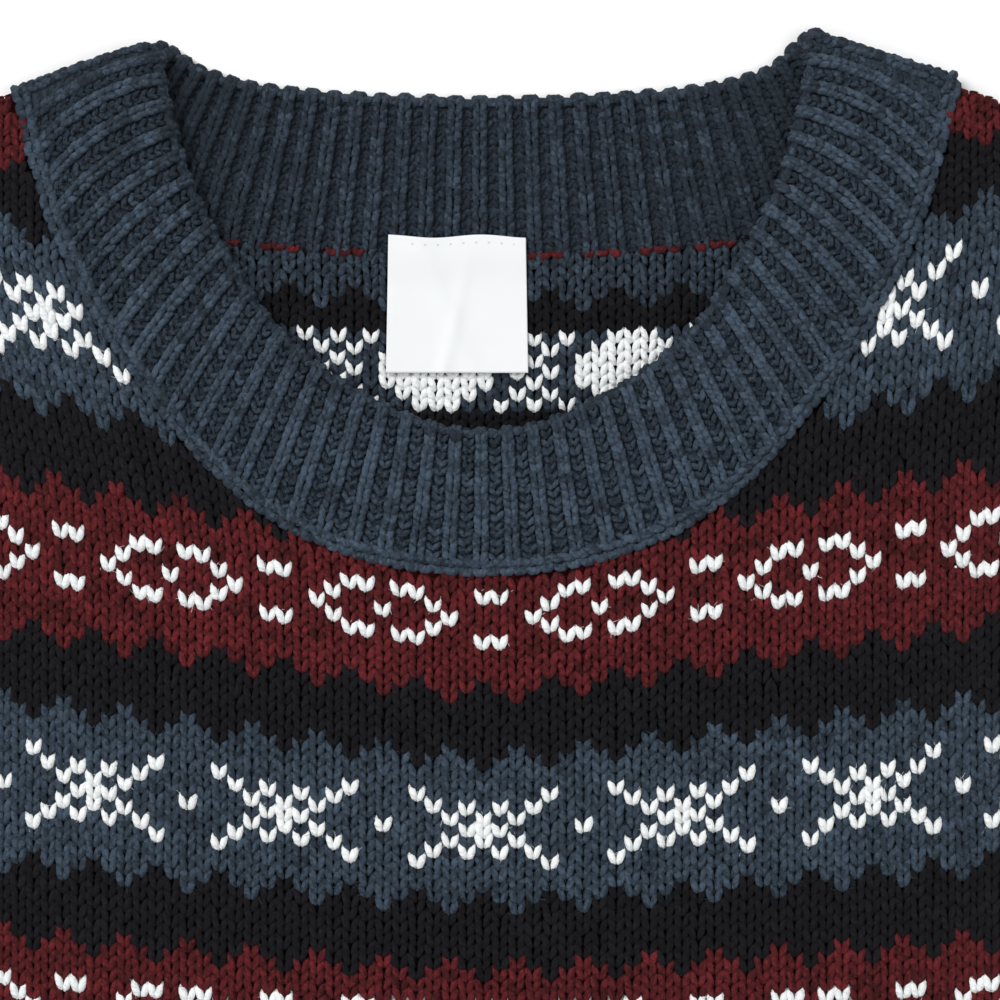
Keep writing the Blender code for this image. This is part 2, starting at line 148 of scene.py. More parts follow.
SleeveRow = namedtuple("SleeveRow", "along middle_x middle_y lean half_width")
SLEEVE = (
    SleeveRow(0.00, 233.0, -138.0, -9.5, 103.4),
    SleeveRow(0.04, 252.5, -146.3, -3.0, 100.5),
    SleeveRow(0.08, 271.0, -155.5, 6.0, 97.0),
    SleeveRow(0.18, 315.5, -182.3, 24.0, 91.0),
    SleeveRow(0.30, 364.6, -220.8, 38.0, 85.0),
    SleeveRow(0.45, 419.2, -276.3, 48.0, 77.0),
    SleeveRow(0.60, 467.3, -337.7, 55.0, 70.0),
    SleeveRow(0.75, 509.9, -403.0, 58.8, 63.0),
    SleeveRow(0.90, 548.8, -470.6, 61.0, 56.0),
    SleeveRow(1.00, 573.6, -516.3, 62.0, 48.0),
)
SLEEVE_THICK = 7.6
SLEEVE_ROLL = 0.08  # part of the folded width over which each edge rolls under
ARMHOLE_FADES = 0.3

Fold = namedtuple("Fold", "x y degrees length half_width height")
FOLDS = (
    Fold(0.0, -385.0, 90.0, 470.0, 212.0, 3.5),
    Fold(190.0, -286.0, -150.0, 200.0, 28.0, 7.0),
    Fold(170.0, -334.0, -166.0, 150.0, 24.0, 4.5),
    Fold(-186.0, -296.0, -32.0, 220.0, 30.0, 7.5),
    Fold(-128.0, -352.0, -20.0, 150.0, 24.0, 4.0),
    Fold(84.0, -462.0, 13.0, 240.0, 32.0, 5.5),
    Fold(-104.0, -508.0, -9.0, 270.0, 30.0, 6.5),
    Fold(146.0, -548.0, 5.0, 180.0, 26.0, 6.0),
    Fold(-176.0, -560.0, 3.0, 110.0, 22.0, 4.0),
    Fold(-24.0, -404.0, 7.0, 180.0, 34.0, 3.5),
    Fold(284.0, -190.0, -96.0, 150.0, 26.0, 6.0),
    Fold(352.0, -216.0, -118.0, 140.0, 26.0, 8.0),
    Fold(410.0, -302.0, -142.0, 130.0, 24.0, 8.5),
    Fold(456.0, -386.0, -156.0, 110.0, 22.0, 6.5),
    Fold(532.0, -462.0, -148.0, 84.0, 20.0, 5.0),
    Fold(-276.0, -182.0, -84.0, 150.0, 28.0, 6.5),
    Fold(-336.0, -206.0, -58.0, 150.0, 26.0, 7.0),
    Fold(-392.0, -292.0, -36.0, 140.0, 24.0, 9.0),
    Fold(-460.0, -394.0, -22.0, 120.0, 22.0, 6.0),
    Fold(-520.0, -478.0, -36.0, 84.0, 20.0, 5.0),
)


class Yarn(IntEnum):
    """Yarn colours. Each has TONES faint tones and one darker tone of painted shade for the hollows.
    """

    SLATE = 0
    BLACK = 1
    BURGUNDY = 2
    WHITE = 3


TONES = 5
MIDDLE_TONE = 2
TONE_SHARES = (0.14, 0.72, 0.14)  # of stitches a tone darker, alike and a tone lighter
FACING_DOWN = (0, 3, 2, 1)  # order of a face's corners that turns it over
# First slot of the darker tones, painted shade for the hollows between strands
PAINTED_SHADE_SLOTS = len(Yarn) * TONES
LETTERS = {"S": Yarn.SLATE, "K": Yarn.BLACK, "B": Yarn.BURGUNDY, "W": Yarn.WHITE}

# The chart's ground, one word for each course, four stitches wide, and its two motifs
GROUND = (
    *["BBBB"] * 8,
    "KBBB", "KKBK",
    *["KKKK"] * 4,
    "KKSK", "KSSS",
    *["SSSS"] * 11,
    "KSSS", "KKSK",
    *["KKKK"] * 4,
    "KKBK", "KBBB",
    *["BBBB"] * 2,
)
RINGS = (
    "..VV.VV...VV.",
    ".V.....V.....",
    "V...V...V....",
    ".V.....V.....",
    "..VV.VV...VV.",
)
STARS = (
    "V.......V...",
    ".V.V.V.V....",
    "..V.V.V.....",
    "...VVV....V.",
    "..V.V.V.....",
    ".V.V.V.V....",
    "V.......V...",
)
# Back, as it shows inside the neck: a plain lattice of lozenges and dots
LATTICE_GROUND = (
    *["SSSS"] * 3,
    "KSSS", "KKSK",
    *["KKKK"] * 2,
    *["SSSS"] * 7,
    *["KKKK"] * 8,
)
LATTICE = (
    "..VVV..V.V.V",
    ".VVVVV..V.V.",
    "VVVVVVV..V..",
    "VVVVVVV.V.V.",
    "VVVVVVV..V..",
    ".VVVVV..V.V.",
    "..VVV..V.V.V",
)


@dataclass(frozen=True)
class Motif:
    """A white figure repeated along some courses of a chart."""

    rows: tuple
    first_course: int
    shift: int

    def marks(self, wale: np.ndarray, course: np.ndarray) -> np.ndarray:
        """Whether each stitch is white.

        Args:
            wale: stitch numbers across.
            course: stitch numbers down, within one repeat.
        Returns:
            A mask of the same shape.
        """
        table = np.array([[c == "V" for c in row] for row in self.rows])
        row = course - self.first_course
        within = (row >= 0) & (row < len(self.rows))
        column = (wale + self.shift) % table.shape[1]
        return within & table[np.clip(row, 0, len(self.rows) - 1), column]


@dataclass(frozen=True)
class Chart:
    """Which yarn each stitch takes."""

    ground: tuple
    motifs: tuple
    figured: range = range(0, 1000)  # courses that carry the motifs

    def yarn(self, wale: np.ndarray, course: np.ndarray) -> np.ndarray:
        """Yarn number of each stitch, with the chart repeated both ways.

        Args:
            wale: stitch numbers across.
            course: stitch numbers down.
        Returns:
            Yarn numbers of the same shape.
        """
        table = np.array([[LETTERS[c] for c in row] for row in self.ground])
        row = course % len(self.ground)
        found = table[row, wale % table.shape[1]]
        for motif in self.motifs:
            white = motif.marks(wale, row)
            white &= (course >= self.figured.start) & (course < self.figured.stop)
            found = np.where(white, Yarn.WHITE, found)
        return found


MOTIFS = (Motif(RINGS, 0, 10), Motif(STARS, 18, 4))
BODY_CHART = Chart(GROUND, MOTIFS, range(-30, 203))
SLEEVE_CHART = Chart(GROUND, MOTIFS)
LATTICE_CHART = Chart(LATTICE_GROUND, (Motif(LATTICE, 7, 6),))


# Shader graph


class Graph:
    """Makes the nodes of one material."""

    def __init__(self, material: bpy.types.Material) -> None:
        """Start on a material's own node tree.

        Args:
            material: a material without nodes of its own yet.
        """
        material.use_nodes = True
        self.tree = material.node_tree
        self.shader = self.tree.nodes["Principled BSDF"]

    def node(self, kind: str, inputs: dict, output: int | str = 0,
             **settings: object) -> "Signal":
        """Add a node.

        Args:
            kind: node type.
            inputs: socket name or number to a Signal or a plain value.
            output: socket to return.
            settings: node properties.
        Returns:
            The chosen output.
        """
        made = self.tree.nodes.new(kind)
        for name, value in settings.items():
            setattr(made, name, value)
        for name, value in inputs.items():
            if isinstance(value, Signal):
                self.tree.links.new(value.socket, made.inputs[name])
            else:
                made.inputs[name].default_value = value
        return Signal(self, made.outputs[output])

    def feed(self, signal: "Signal", socket: str) -> None:
        """Link a signal to one of the shader's sockets."""
        self.tree.links.new(signal.socket, self.shader.inputs[socket])


class Signal:
    """A shader value, on which arithmetic adds Math nodes."""

    def __init__(self, graph: Graph, socket: bpy.types.NodeSocket) -> None:
        """Wrap a socket."""
        self.graph = graph
        self.socket = socket

    def _math(self, operation: str, *values: "Signal | float") -> "Signal":
        """One Math node on the given values."""
        return self.graph.node("ShaderNodeMath", dict(enumerate(values)), operation=operation)

    def __add__(self, other: "Signal | float") -> "Signal":
        """Sum."""
        return self._math("ADD", self, other)

    def __sub__(self, other: "Signal | float") -> "Signal":
        """Difference."""
        return self._math("SUBTRACT", self, other)

    def __mul__(self, other: "Signal | float") -> "Signal":
        """Product."""
        return self._math("MULTIPLY", self, other)

    def sine(self) -> "Signal":
        """Sine of the value."""
        return self._math("SINE", self)

    def fraction(self) -> "Signal":
        """Part past the last whole number."""
        return self._math("FRACT", self)

    def size(self) -> "Signal":
        """Value without its sign."""
        return self._math("ABSOLUTE", self)


class Surface(Enum):
    """How a material's own relief is made."""

    STRAND = "strand"
    STITCHES = "stitches"
    SATIN = "satin"


@dataclass(frozen=True)
class Finish:
    """One finish: colour, gloss and relief."""

    name: str
    colour: tuple
    surface: Surface
    roughness: float = 0.92
    fuzz: float = 0.15
    relief: float = 0.5

    def build(self) -> bpy.types.Material:
        """Make the material.

        Returns:
            A node material whose Normal carries the relief.
        """
        material = bpy.data.materials.new(self.name)
        graph = Graph(material)
        inputs = graph.shader.inputs
        inputs["Base Color"].default_value = (*self.colour, 1.0)
        inputs["Roughness"].default_value = self.roughness
        inputs["Sheen Weight"].default_value = self.fuzz
        inputs["Sheen Roughness"].default_value = 0.6
        inputs["Sheen Tint"].default_value = (*self.colour, 1.0)
        inputs["Specular IOR Level"].default_value = 0.25
        height = self.height(graph)
        bump = graph.node(
            "ShaderNodeBump",
            {"Height": height, "Strength": 1.0, "Distance": self.relief * MM},
            "Normal",
        )
        graph.feed(bump, "Normal")
        return material

    def height(self, graph: Graph) -> Signal:
        """Relief of the finish, from 0 to about 1.

        Args:
            graph: the material's nodes.
        Returns:
            A value for the bump.
        """
        place = graph.node("ShaderNodeTexCoord", {}, "Object")
        fine = graph.node(
            "ShaderNodeTexNoise",
            {"Vector": place, "Scale": 1500.0, "Detail": 4.0, "Roughness": 0.75},
            "Fac",
        )
        if self.surface is Surface.SATIN:
            broad = graph.node(
                "ShaderNodeTexNoise", {"Vector": place, "Scale": 90.0, "Detail": 2.0}, "Fac"
            )
            return fine * 0.1 + broad
        uv = graph.node("ShaderNodeUVMap", {}, "UV", uv_map="Knit")
        split = graph.node("ShaderNodeSeparateXYZ", {"Vector": uv}, "X")
        along = Signal(graph, split.socket.node.outputs["Y"])
        if self.surface is Surface.STRAND:
            twist = ((split * 0.9 + along * 1.15) * math.tau).sine()
            return twist * 0.22 + fine * 1.6
        middle = ((split.fraction() - 0.5) * 2.0).size()
        legs = ((along + middle * CHEVRON_DROP) * math.tau).sine() * 0.4
        return legs + fine * 0.5 - middle * 0.5


class Palette:
    """The material slots of a knitted piece: the yarns' tones, then their darker tones of painted
    shade.
    """

    TONE_STEPS = (0.45, 0.7, 1.0, 1.3, 1.65)
    COLOURS = {
        Yarn.SLATE: (0.052, 0.077, 0.110),
        Yarn.BLACK: (0.0072, 0.0068, 0.0100),
        Yarn.BURGUNDY: (0.130, 0.0135, 0.0170),
        Yarn.WHITE: (0.88, 0.90, 0.905),
    }
    # How dark the painted shade tones are, as a share of each yarn's colour
    PAINTED_SHADE_SCALE = 0.85
    WHITE_EVENNESS = 0.12  # share of the tone steps that white yarn takes
    WHITE_RELIEF = 0.3

    def __init__(self, surface: Surface, relief: float) -> None:
        """Make the materials of every yarn for one kind of relief.

        Args:
            surface: how the relief is made.
            relief: its depth in millimetres.
        """
        self.materials = []
        for yarn in Yarn:
            white = yarn is Yarn.WHITE
            evenness = self.WHITE_EVENNESS if white else 1.0
            height = relief * self.WHITE_RELIEF if white else relief
            for tone, step in enumerate(self.TONE_STEPS):
                scale = 1.0 + (step - 1.0) * evenness
                colour = tuple(min(c * scale, 1.0) for c in self.COLOURS[yarn])
                finish = Finish(f"{surface.value}_{yarn.name.lower()}_{tone}", colour, surface,
                                relief=height)
                self.materials.append(finish.build())
        # The painted shade tones, one for each yarn
        for yarn in Yarn:
            colour = tuple(c * self.PAINTED_SHADE_SCALE for c in self.COLOURS[yarn])
            finish = Finish(f"{surface.value}_{yarn.name.lower()}_deep", colour, surface,
                            relief=relief)
            self.materials.append(finish.build())


# Meshes from arrays


@dataclass
class Patch:
    """Faces of a mesh under making, as arrays in millimetres."""

    points: np.ndarray
    quads: np.ndarray
    slots: np.ndarray
    uv: np.ndarray

    @staticmethod
    def joined(patches: list) -> "Patch":
        """Several patches as one.

        Args:
            patches: patches that share their slots.
        Returns:
            One patch with their points and faces in order.
        """
        starts = np.cumsum([0] + [len(p.points) for p in patches[:-1]])
        return Patch(
            np.concatenate([p.points for p in patches]),
            np.concatenate([p.quads + s for p, s in zip(patches, starts)]),
            np.concatenate([p.slots for p in patches]),
            np.concatenate([p.uv for p in patches]),
        )

    def mesh(self, name: str, materials: list) -> bpy.types.Object:
        """Make the object, without the points that no face uses.

        Args:
            name: the piece's name.
            materials: its slots.
        Returns:
            An object at the origin, with its place in its mesh.
        """
        mesh = bpy.data.meshes.new(name)
        shift = np.array((0.0, SHOULDER_ABOVE_ORIGIN, 0.0))
        used, corners = np.unique(self.quads, return_inverse=True)
        points = (self.points[used] + shift) * MM
        corners = corners.reshape(-1)
        mesh.vertices.add(len(points))
        mesh.vertices.foreach_set("co", points.reshape(-1).astype(np.float32))
        mesh.loops.add(len(corners))
        mesh.loops.foreach_set("vertex_index", corners.astype(np.int32))
        mesh.polygons.add(len(self.quads))
        mesh.polygons.foreach_set("loop_start", np.arange(0, len(corners), 4, dtype=np.int32))
        for material in materials:
            mesh.materials.append(material)
        mesh.polygons.foreach_set("material_index", self.slots.astype(np.int32))
        layer = mesh.uv_layers.new(name="Knit")
        layer.uv.foreach_set("vector", self.uv.reshape(-1).astype(np.float32))
        mesh.update(calc_edges=True)
        mesh.validate()
        mesh.shade_smooth()
        piece = bpy.data.objects.new(name, mesh)
        bpy.context.collection.objects.link(piece)
        return piece


def grid_quads(rows: int, columns: int) -> np.ndarray:
    """Faces of a grid of points.

    Args:
        rows: rows of points.
        columns: points in each row.
    Returns:
        Point numbers, four to a face, wound so that faces look up where rows run down.
    """
    number = np.arange(rows * columns).reshape(rows, columns)
    return np.stack(
        (number[:-1, :-1], number[1:, :-1], number[1:, 1:], number[:-1, 1:]), axis=-1
    ).reshape(-1, 4)


def smoothstep(value: np.ndarray) -> np.ndarray:
    """0 to 1 with level ends."""
    t = np.clip(value, 0.0, 1.0)
    return t * t * (3.0 - 2.0 * t)


def smooth_table(rows: tuple, key: str, columns: tuple, at: np.ndarray) -> np.ndarray:
    """Columns of a table at places along its key, on a smooth curve.

    Args:
        rows: named rows sorted by key.
        key: name of the key column.
        columns: names of the wanted columns.
        at: places along the key.
    Returns:
        An array with the columns last.
    """
    keys = np.array([getattr(row, key) for row in rows], float)
    points = np.array([[getattr(row, c) for c in columns] for row in rows], float)
    before = np.maximum(np.arange(len(keys)) - 1, 0)
    after = np.minimum(np.arange(len(keys)) + 1, len(keys) - 1)
    slopes = (points[after] - points[before]) / (keys[after] - keys[before])[:, None]
    at = np.clip(at, keys[0], keys[-1])
    i = np.clip(np.searchsorted(keys, at, side="right") - 1, 0, len(keys) - 2)
    span = (keys[i + 1] - keys[i])[..., None]
    t = (at - keys[i])[..., None] / span
    return (
        points[i] * (2 * t**3 - 3 * t**2 + 1)
        + slopes[i] * span * (t**3 - 2 * t**2 + t)
        + points[i + 1] * (3 * t**2 - 2 * t**3)
        + slopes[i + 1] * span * (t**3 - t**2)
    )


def fold_height(x: np.ndarray, y: np.ndarray) -> np.ndarray:
    """How far the soft folds lift the upper layer.

    Args:
        x: places across.
        y: places up.
    Returns:
        Heights in millimetres.
    """
    lift = np.zeros_like(x, dtype=float)
    for fold in FOLDS:
        angle = math.radians(fold.degrees)
        dx, dy = x - fold.x, y - fold.y
        along = (dx * math.cos(angle) + dy * math.sin(angle)) / (fold.length / 2)
        across = (dy * math.cos(angle) - dx * math.sin(angle)) / fold.half_width
        within = (abs(along) < 1) & (abs(across) < 1)
        lift += np.where(within, fold.height * (1 - along**2) ** 2 * (1 - across**2) ** 2, 0.0)
    return lift


@dataclass(frozen=True)
class Outline:
    """A closed outline or an open line, as an array of places."""

    places: np.ndarray

    def inside(self, x: np.ndarray, y: np.ndarray) -> np.ndarray:
        """Whether places are within the closed outline.

        Args:
            x: places across.
            y: places up.
        Returns:
            A mask of the same shape.
        """
        within = np.zeros(x.shape, bool)
        ends = np.roll(self.places, -1, axis=0)
        for (ax, ay), (bx, by) in zip(self.places, ends):
            if ay == by:
                continue
            spans = (ay > y) != (by > y)
            within ^= spans & (x < (bx - ax) * (y - ay) / (by - ay) + ax)
        return within

    def nearest(self, x: np.ndarray, y: np.ndarray, closed: bool = True) -> tuple:
        """Distance from places to the line, and the nearest places on it.

        Args:
            x: places across.
            y: places up.
            closed: whether the last place joins the first.
        Returns:
            Distances, and the nearest places across and up.
        """
        best = np.full(x.shape, np.inf)
        near_x, near_y = x.copy(), y.copy()
        ends = np.roll(self.places, -1, axis=0)
        runs = list(zip(self.places, ends))
        for a, b in runs if closed else runs[:-1]:
            run = b - a
            t = np.clip(((x - a[0]) * run[0] + (y - a[1]) * run[1]) / (run @ run), 0.0, 1.0)
            px, py = a[0] + run[0] * t, a[1] + run[1] * t
            far = np.hypot(x - px, y - py)
            closer = far < best
            best = np.where(closer, far, best)
            near_x, near_y = np.where(closer, px, near_x), np.where(closer, py, near_y)
        return best, near_x, near_y


def band_line(rows: tuple, edge: str, ribs: np.ndarray) -> np.ndarray:
    """Places on the neckband's seam or free edge, for signed rib numbers.

    Args:
        rows: BAND_FRONT or BAND_BACK.
        edge: "seam" or "free".
        ribs: signed rib numbers.
    Returns:
        Points, with x, y and z last.
    """
    columns = tuple(f"{edge}_{axis}" for axis in "xyz")
    middle = rows[0].rib if rows is BAND_FRONT else rows[-1].rib
    mirrored = [r._replace(rib=2 * middle - r.rib, seam_x=-r.seam_x, free_x=-r.free_x)
                for r in rows if r.rib != middle]
    both = tuple(sorted((*rows, *mirrored), key=lambda r: r.rib))
    return smooth_table(both, "rib", columns, ribs)


def neck_edge(rows: tuple, first: float, last: float, steps: int) -> np.ndarray:
    """The body's neck edge just outside the neckband's seam.

    Args:
        rows: BAND_FRONT or BAND_BACK.
        first: rib number at which it starts.
        last: rib number at which it ends.
        steps: how many places.
    Returns:
        Places, with x and y last.
    """
    ribs = np.linspace(first, last, steps)
    seam = band_line(rows, "seam", ribs)[:, :2]
    away = seam - band_line(rows, "free", ribs)[:, :2]
    return seam + away / np.linalg.norm(away, axis=1)[:, None] * SEAM_GAP


RIM = np.array((SHOULDER_NECK_END, *ARMHOLE, *SIDE[1:]), float)
RIM_LEFT = RIM[::-1] * (-1.0, 1.0)
RIM_RIGHT = RIM + np.array(((0.0, RIGHT_SHOULDER_HIGHER),) * 2 + ((0.0, 0.0),) * (len(RIM) - 2))
FRONT_NECK = neck_edge(BAND_FRONT, -FOLD_STARTS, FOLD_STARTS, 60)
BACK_NECK = neck_edge(BAND_BACK, RIBS_ROUND - FOLD_ENDS, FOLD_ENDS, 40)
FRONT_OUTLINE = Outline(np.concatenate((FRONT_NECK, RIM_RIGHT, RIM_LEFT)))
BACK_OUTLINE = Outline(np.concatenate((BACK_NECK, RIM, RIM_LEFT)))


def from_rim(x: np.ndarray, y: np.ndarray) -> np.ndarray:
    """Distance from places to the shoulder, armhole and side lines."""
    return Outline(RIM).nearest(abs(x), y, closed=False)[0]


# Cloth surfaces: a place on the knitting, in millimetres across and down, to a point in space


class Cloth:
    """A knitted surface over which stitches are laid."""

    def point(self, u: np.ndarray, v: np.ndarray) -> np.ndarray:
        """Points on the surface, with u across and v down the knitting."""
        raise NotImplementedError

    def bounded(self, u: np.ndarray, v: np.ndarray) -> tuple:
        """Places drawn in to the cloth's own edges, and whether each lay within them."""
        return u, v, np.ones(u.shape, bool)

    def trimmed(self, points: np.ndarray) -> np.ndarray:
        """Points of yarn kept within the cloth's own edge, and off the floor."""
        points[..., 2] = np.maximum(points[..., 2], LOWEST)
        return points

    def lifted(self, u: np.ndarray, v: np.ndarray, height: np.ndarray) -> tuple:
        """Points above the surface, and the surface's normals there.

        Args:
            u: millimetres across the knitting.
            v: millimetres down it.
            height: millimetres above the surface.
        Returns:
            Points and unit normals, with x, y and z last.
        """
        step = 0.5
        across = self.point(u + step, v) - self.point(u - step, v)
        down = self.point(u, v + step) - self.point(u, v - step)
        normal = np.cross(down, across)
        normal /= np.linalg.norm(normal, axis=-1, keepdims=True) + 1e-12
        return self.point(u, v) + normal * np.asarray(height)[..., None], normal


class FrontCloth(Cloth):
    """The front, whose courses rise and spread towards the shoulders as the neck pulls them."""

    EDGE_SINKS = 1.4
    EDGE_WIDTH = 6.0
    HALF = 100.1  # across, where the layout's sideways terms reach one
    FARTHEST = 1.15
    RISE_FADES = 50.0  # courses over which the rise dies away down the front
    PULL_STARTS = {"left": -3.0, "right": -6.0, "rise": -3.0}  # courses
    PULL_UNIT = 15.0
    PULL_SOFT = 2.5
    ACROSS = (-0.385, 1.4, -3.69)  # the layout's sideways terms: fixed, even, cubed
    LEFT_PULL = (24.9, 13.5)
    RIGHT_PULL = 5.05
    BOW_SOFT = 0.02  # how round the courses' bow is at the middle
    DOWN = (-0.17, 21.9, -3.65, 9.15)  # its upward terms: fixed, bow, squared, bow with pull
    FADING = (25.2, -8.2, 1.27, 0.42)  # those that die away upwards: bow, squared, even, fixed
    OVER_SHOULDER = (0.0, 1.6)  # how far yarn reaches past the left and right shoulder lines
    PRESSED = 0.08  # share of its own reach that yarn keeps past there
    PULL_ENDS = -20.0  # above this course the pull grows no more

    def pull(self, course: np.ndarray, start: str) -> np.ndarray:
        """How far the neck pulls a course, from none below to more and more above.

        Args:
            course: course numbers.
            start: a key of PULL_STARTS.
        Returns:
            Pulls from 0 up.
        """
        reach = (self.PULL_STARTS[start] - np.maximum(course, self.PULL_ENDS)) / self.PULL_SOFT
        return np.logaddexp(0.0, reach) * self.PULL_SOFT / self.PULL_UNIT

    def place(self, u: np.ndarray, v: np.ndarray) -> tuple:
        """Where a place on the knitting lies, seen from above.

        Args:
            u: millimetres across the knitting.
            v: millimetres down it.
        Returns:
            Places across and places up.
        """
        course = (v - FIRST_COURSE) / COURSE
        a = np.clip(u / self.HALF, -self.FARTHEST, self.FARTHEST)
        left, right = np.maximum(-a, 0.0), np.maximum(a, 0.0)
        fixed, even, cubed = self.ACROSS
        x = u + fixed + even * a + cubed * a**3
        x -= left * (self.LEFT_PULL[0] - self.LEFT_PULL[1] * left) * self.pull(course, "left")
        x += right * self.RIGHT_PULL * self.pull(course, "right")
        bow = np.sqrt(a * a + self.BOW_SOFT) - math.sqrt(self.BOW_SOFT)
        fixed, bowed, squared, pulled = self.DOWN
        y = -v + fixed + bowed * bow + squared * a**2 + pulled * bow * self.pull(course, "rise")
        bowed, squared, even, fixed = self.FADING
        fade = np.clip(course, self.PULL_ENDS, self.RISE_FADES) / self.RISE_FADES
        y -= (bowed * bow + squared * a**2 + even * a + fixed) * fade
        return x, y

    def point(self, u: np.ndarray, v: np.ndarray) -> np.ndarray:
        """Points on the front's upper face.

        Args:
            u: millimetres across the knitting.
            v: millimetres down it.
        Returns:
            Points, with x, y and z last.
        """
        x, y = self.place(u, v)
        sink = self.EDGE_SINKS * (1.0 - smoothstep(from_rim(x, y) / self.EDGE_WIDTH))
        z = FRONT_UNDERSIDE + FRONT_WALL + fold_height(x, y) - sink
        return np.stack((x, y, z), axis=-1)

    def trimmed(self, points: np.ndarray) -> np.ndarray:
        """Points of yarn kept off the floor and within the shoulder lines.

        Args:
            points: points, which are changed.
        Returns:
            The same points.
        """
        x = points[..., 0]
        shoulder = ARMHOLE[0]
        slope = (shoulder.y - SHOULDER_NECK_END.y) / (shoulder.x - SHOULDER_NECK_END.x)
        line = SHOULDER_NECK_END.y + slope * (abs(x) - SHOULDER_NECK_END.x)
        line = line + np.where(x > 0, self.OVER_SHOULDER[1], self.OVER_SHOULDER[0])
        past = points[..., 1] - line
        points[..., 1] -= np.maximum(past, 0.0) * (1.0 - self.PRESSED)
        return super().trimmed(points)


class BackInsideCloth(Cloth):
    """The inside of the back, as it shows in the neck."""

    SAG = 3.6  # how much higher its courses lie where the neck's sides cover them
    HALF = 62.0

    def point(self, u: np.ndarray, v: np.ndarray) -> np.ndarray:
        """Points on the back's upper face; courses follow the neckband's seam."""
        sag = self.SAG * (u / self.HALF) ** 2
        return np.stack((u, -v + sag, np.full_like(u, BACK_WALL)), axis=-1)


def ring_edge(ribs: np.ndarray, edge: str) -> np.ndarray:
    """The neckband's seam or free edge all round, with its folds at the shoulders.

    Args:
        ribs: rib numbers.
        edge: "seam" or "free".
    Returns:
        Points, with x, y and z last.
    """
    shape = ribs.shape
    ribs = (ribs.reshape(-1) + FOLD_ENDS) % RIBS_ROUND - FOLD_ENDS
    front = band_line(BAND_FRONT, edge, np.clip(ribs, -FOLD_STARTS, FOLD_STARTS))
    back = band_line(BAND_BACK, edge, np.clip(ribs, FOLD_ENDS, RIBS_ROUND - FOLD_ENDS))
    over = np.array([getattr(BAND_FRONT[-1], f"{edge}_{a}") for a in "xyz"])
    under = np.array([getattr(BAND_BACK[0], f"{edge}_{a}") for a in "xyz"])
    radius = (over[2] - under[2]) / 2
    turn = math.pi * np.clip((abs(ribs) - FOLD_STARTS) / (FOLD_ENDS - FOLD_STARTS), 0.0, 1.0)
    bulge = radius * np.sin(turn)
    fold = np.stack(
        (
            np.sign(ribs) * (over[0] + bulge * FOLD_OUTWARD[0]),
            over[1] + bulge * FOLD_OUTWARD[1],
            under[2] + radius * (1 + np.cos(turn)),
        ),
        axis=-1,
    )
    on_front = (abs(ribs) <= FOLD_STARTS)[:, None]
    on_back = (ribs >= FOLD_ENDS)[:, None]
    return np.where(on_front, front, np.where(on_back, back, fold)).reshape(*shape, 3)


def back_rise(x: np.ndarray, across: np.ndarray) -> np.ndarray:
    """How far the back of the neckband rises towards the folds.

    Args:
        x: places of its free edge across.
        across: parts of the way from the seam to the free edge.
    Returns:
        Moves up the picture in millimetres.
    """
    most = np.where(x > 0, BACK_RISES[1], BACK_RISES[0])
    near = np.clip((abs(x) - BACK_RISE_STARTS) / BACK_RISE_RUN, 0.0, 1.0)
    return most * near**1.2 * np.clip(across, 0.0, 1.0) ** 2


MOST_TURN = 2.6  # radians through which a free edge rolls


def roll_over(v: np.ndarray, radius: float) -> tuple:
    """Turn a distance down from a free edge into its level distance and its drop.

    Args:
        v: distances down from the free edge.
        radius: radius of the roll.
    Returns:
        Level distances and drops.
    """
    angle = np.clip((radius * math.pi / 2 - v) / radius, 0.0, MOST_TURN)
    level = np.where(angle > 0, radius * math.pi / 2 - radius * np.sin(angle), v)
    return level, radius * (1.0 - np.cos(angle))


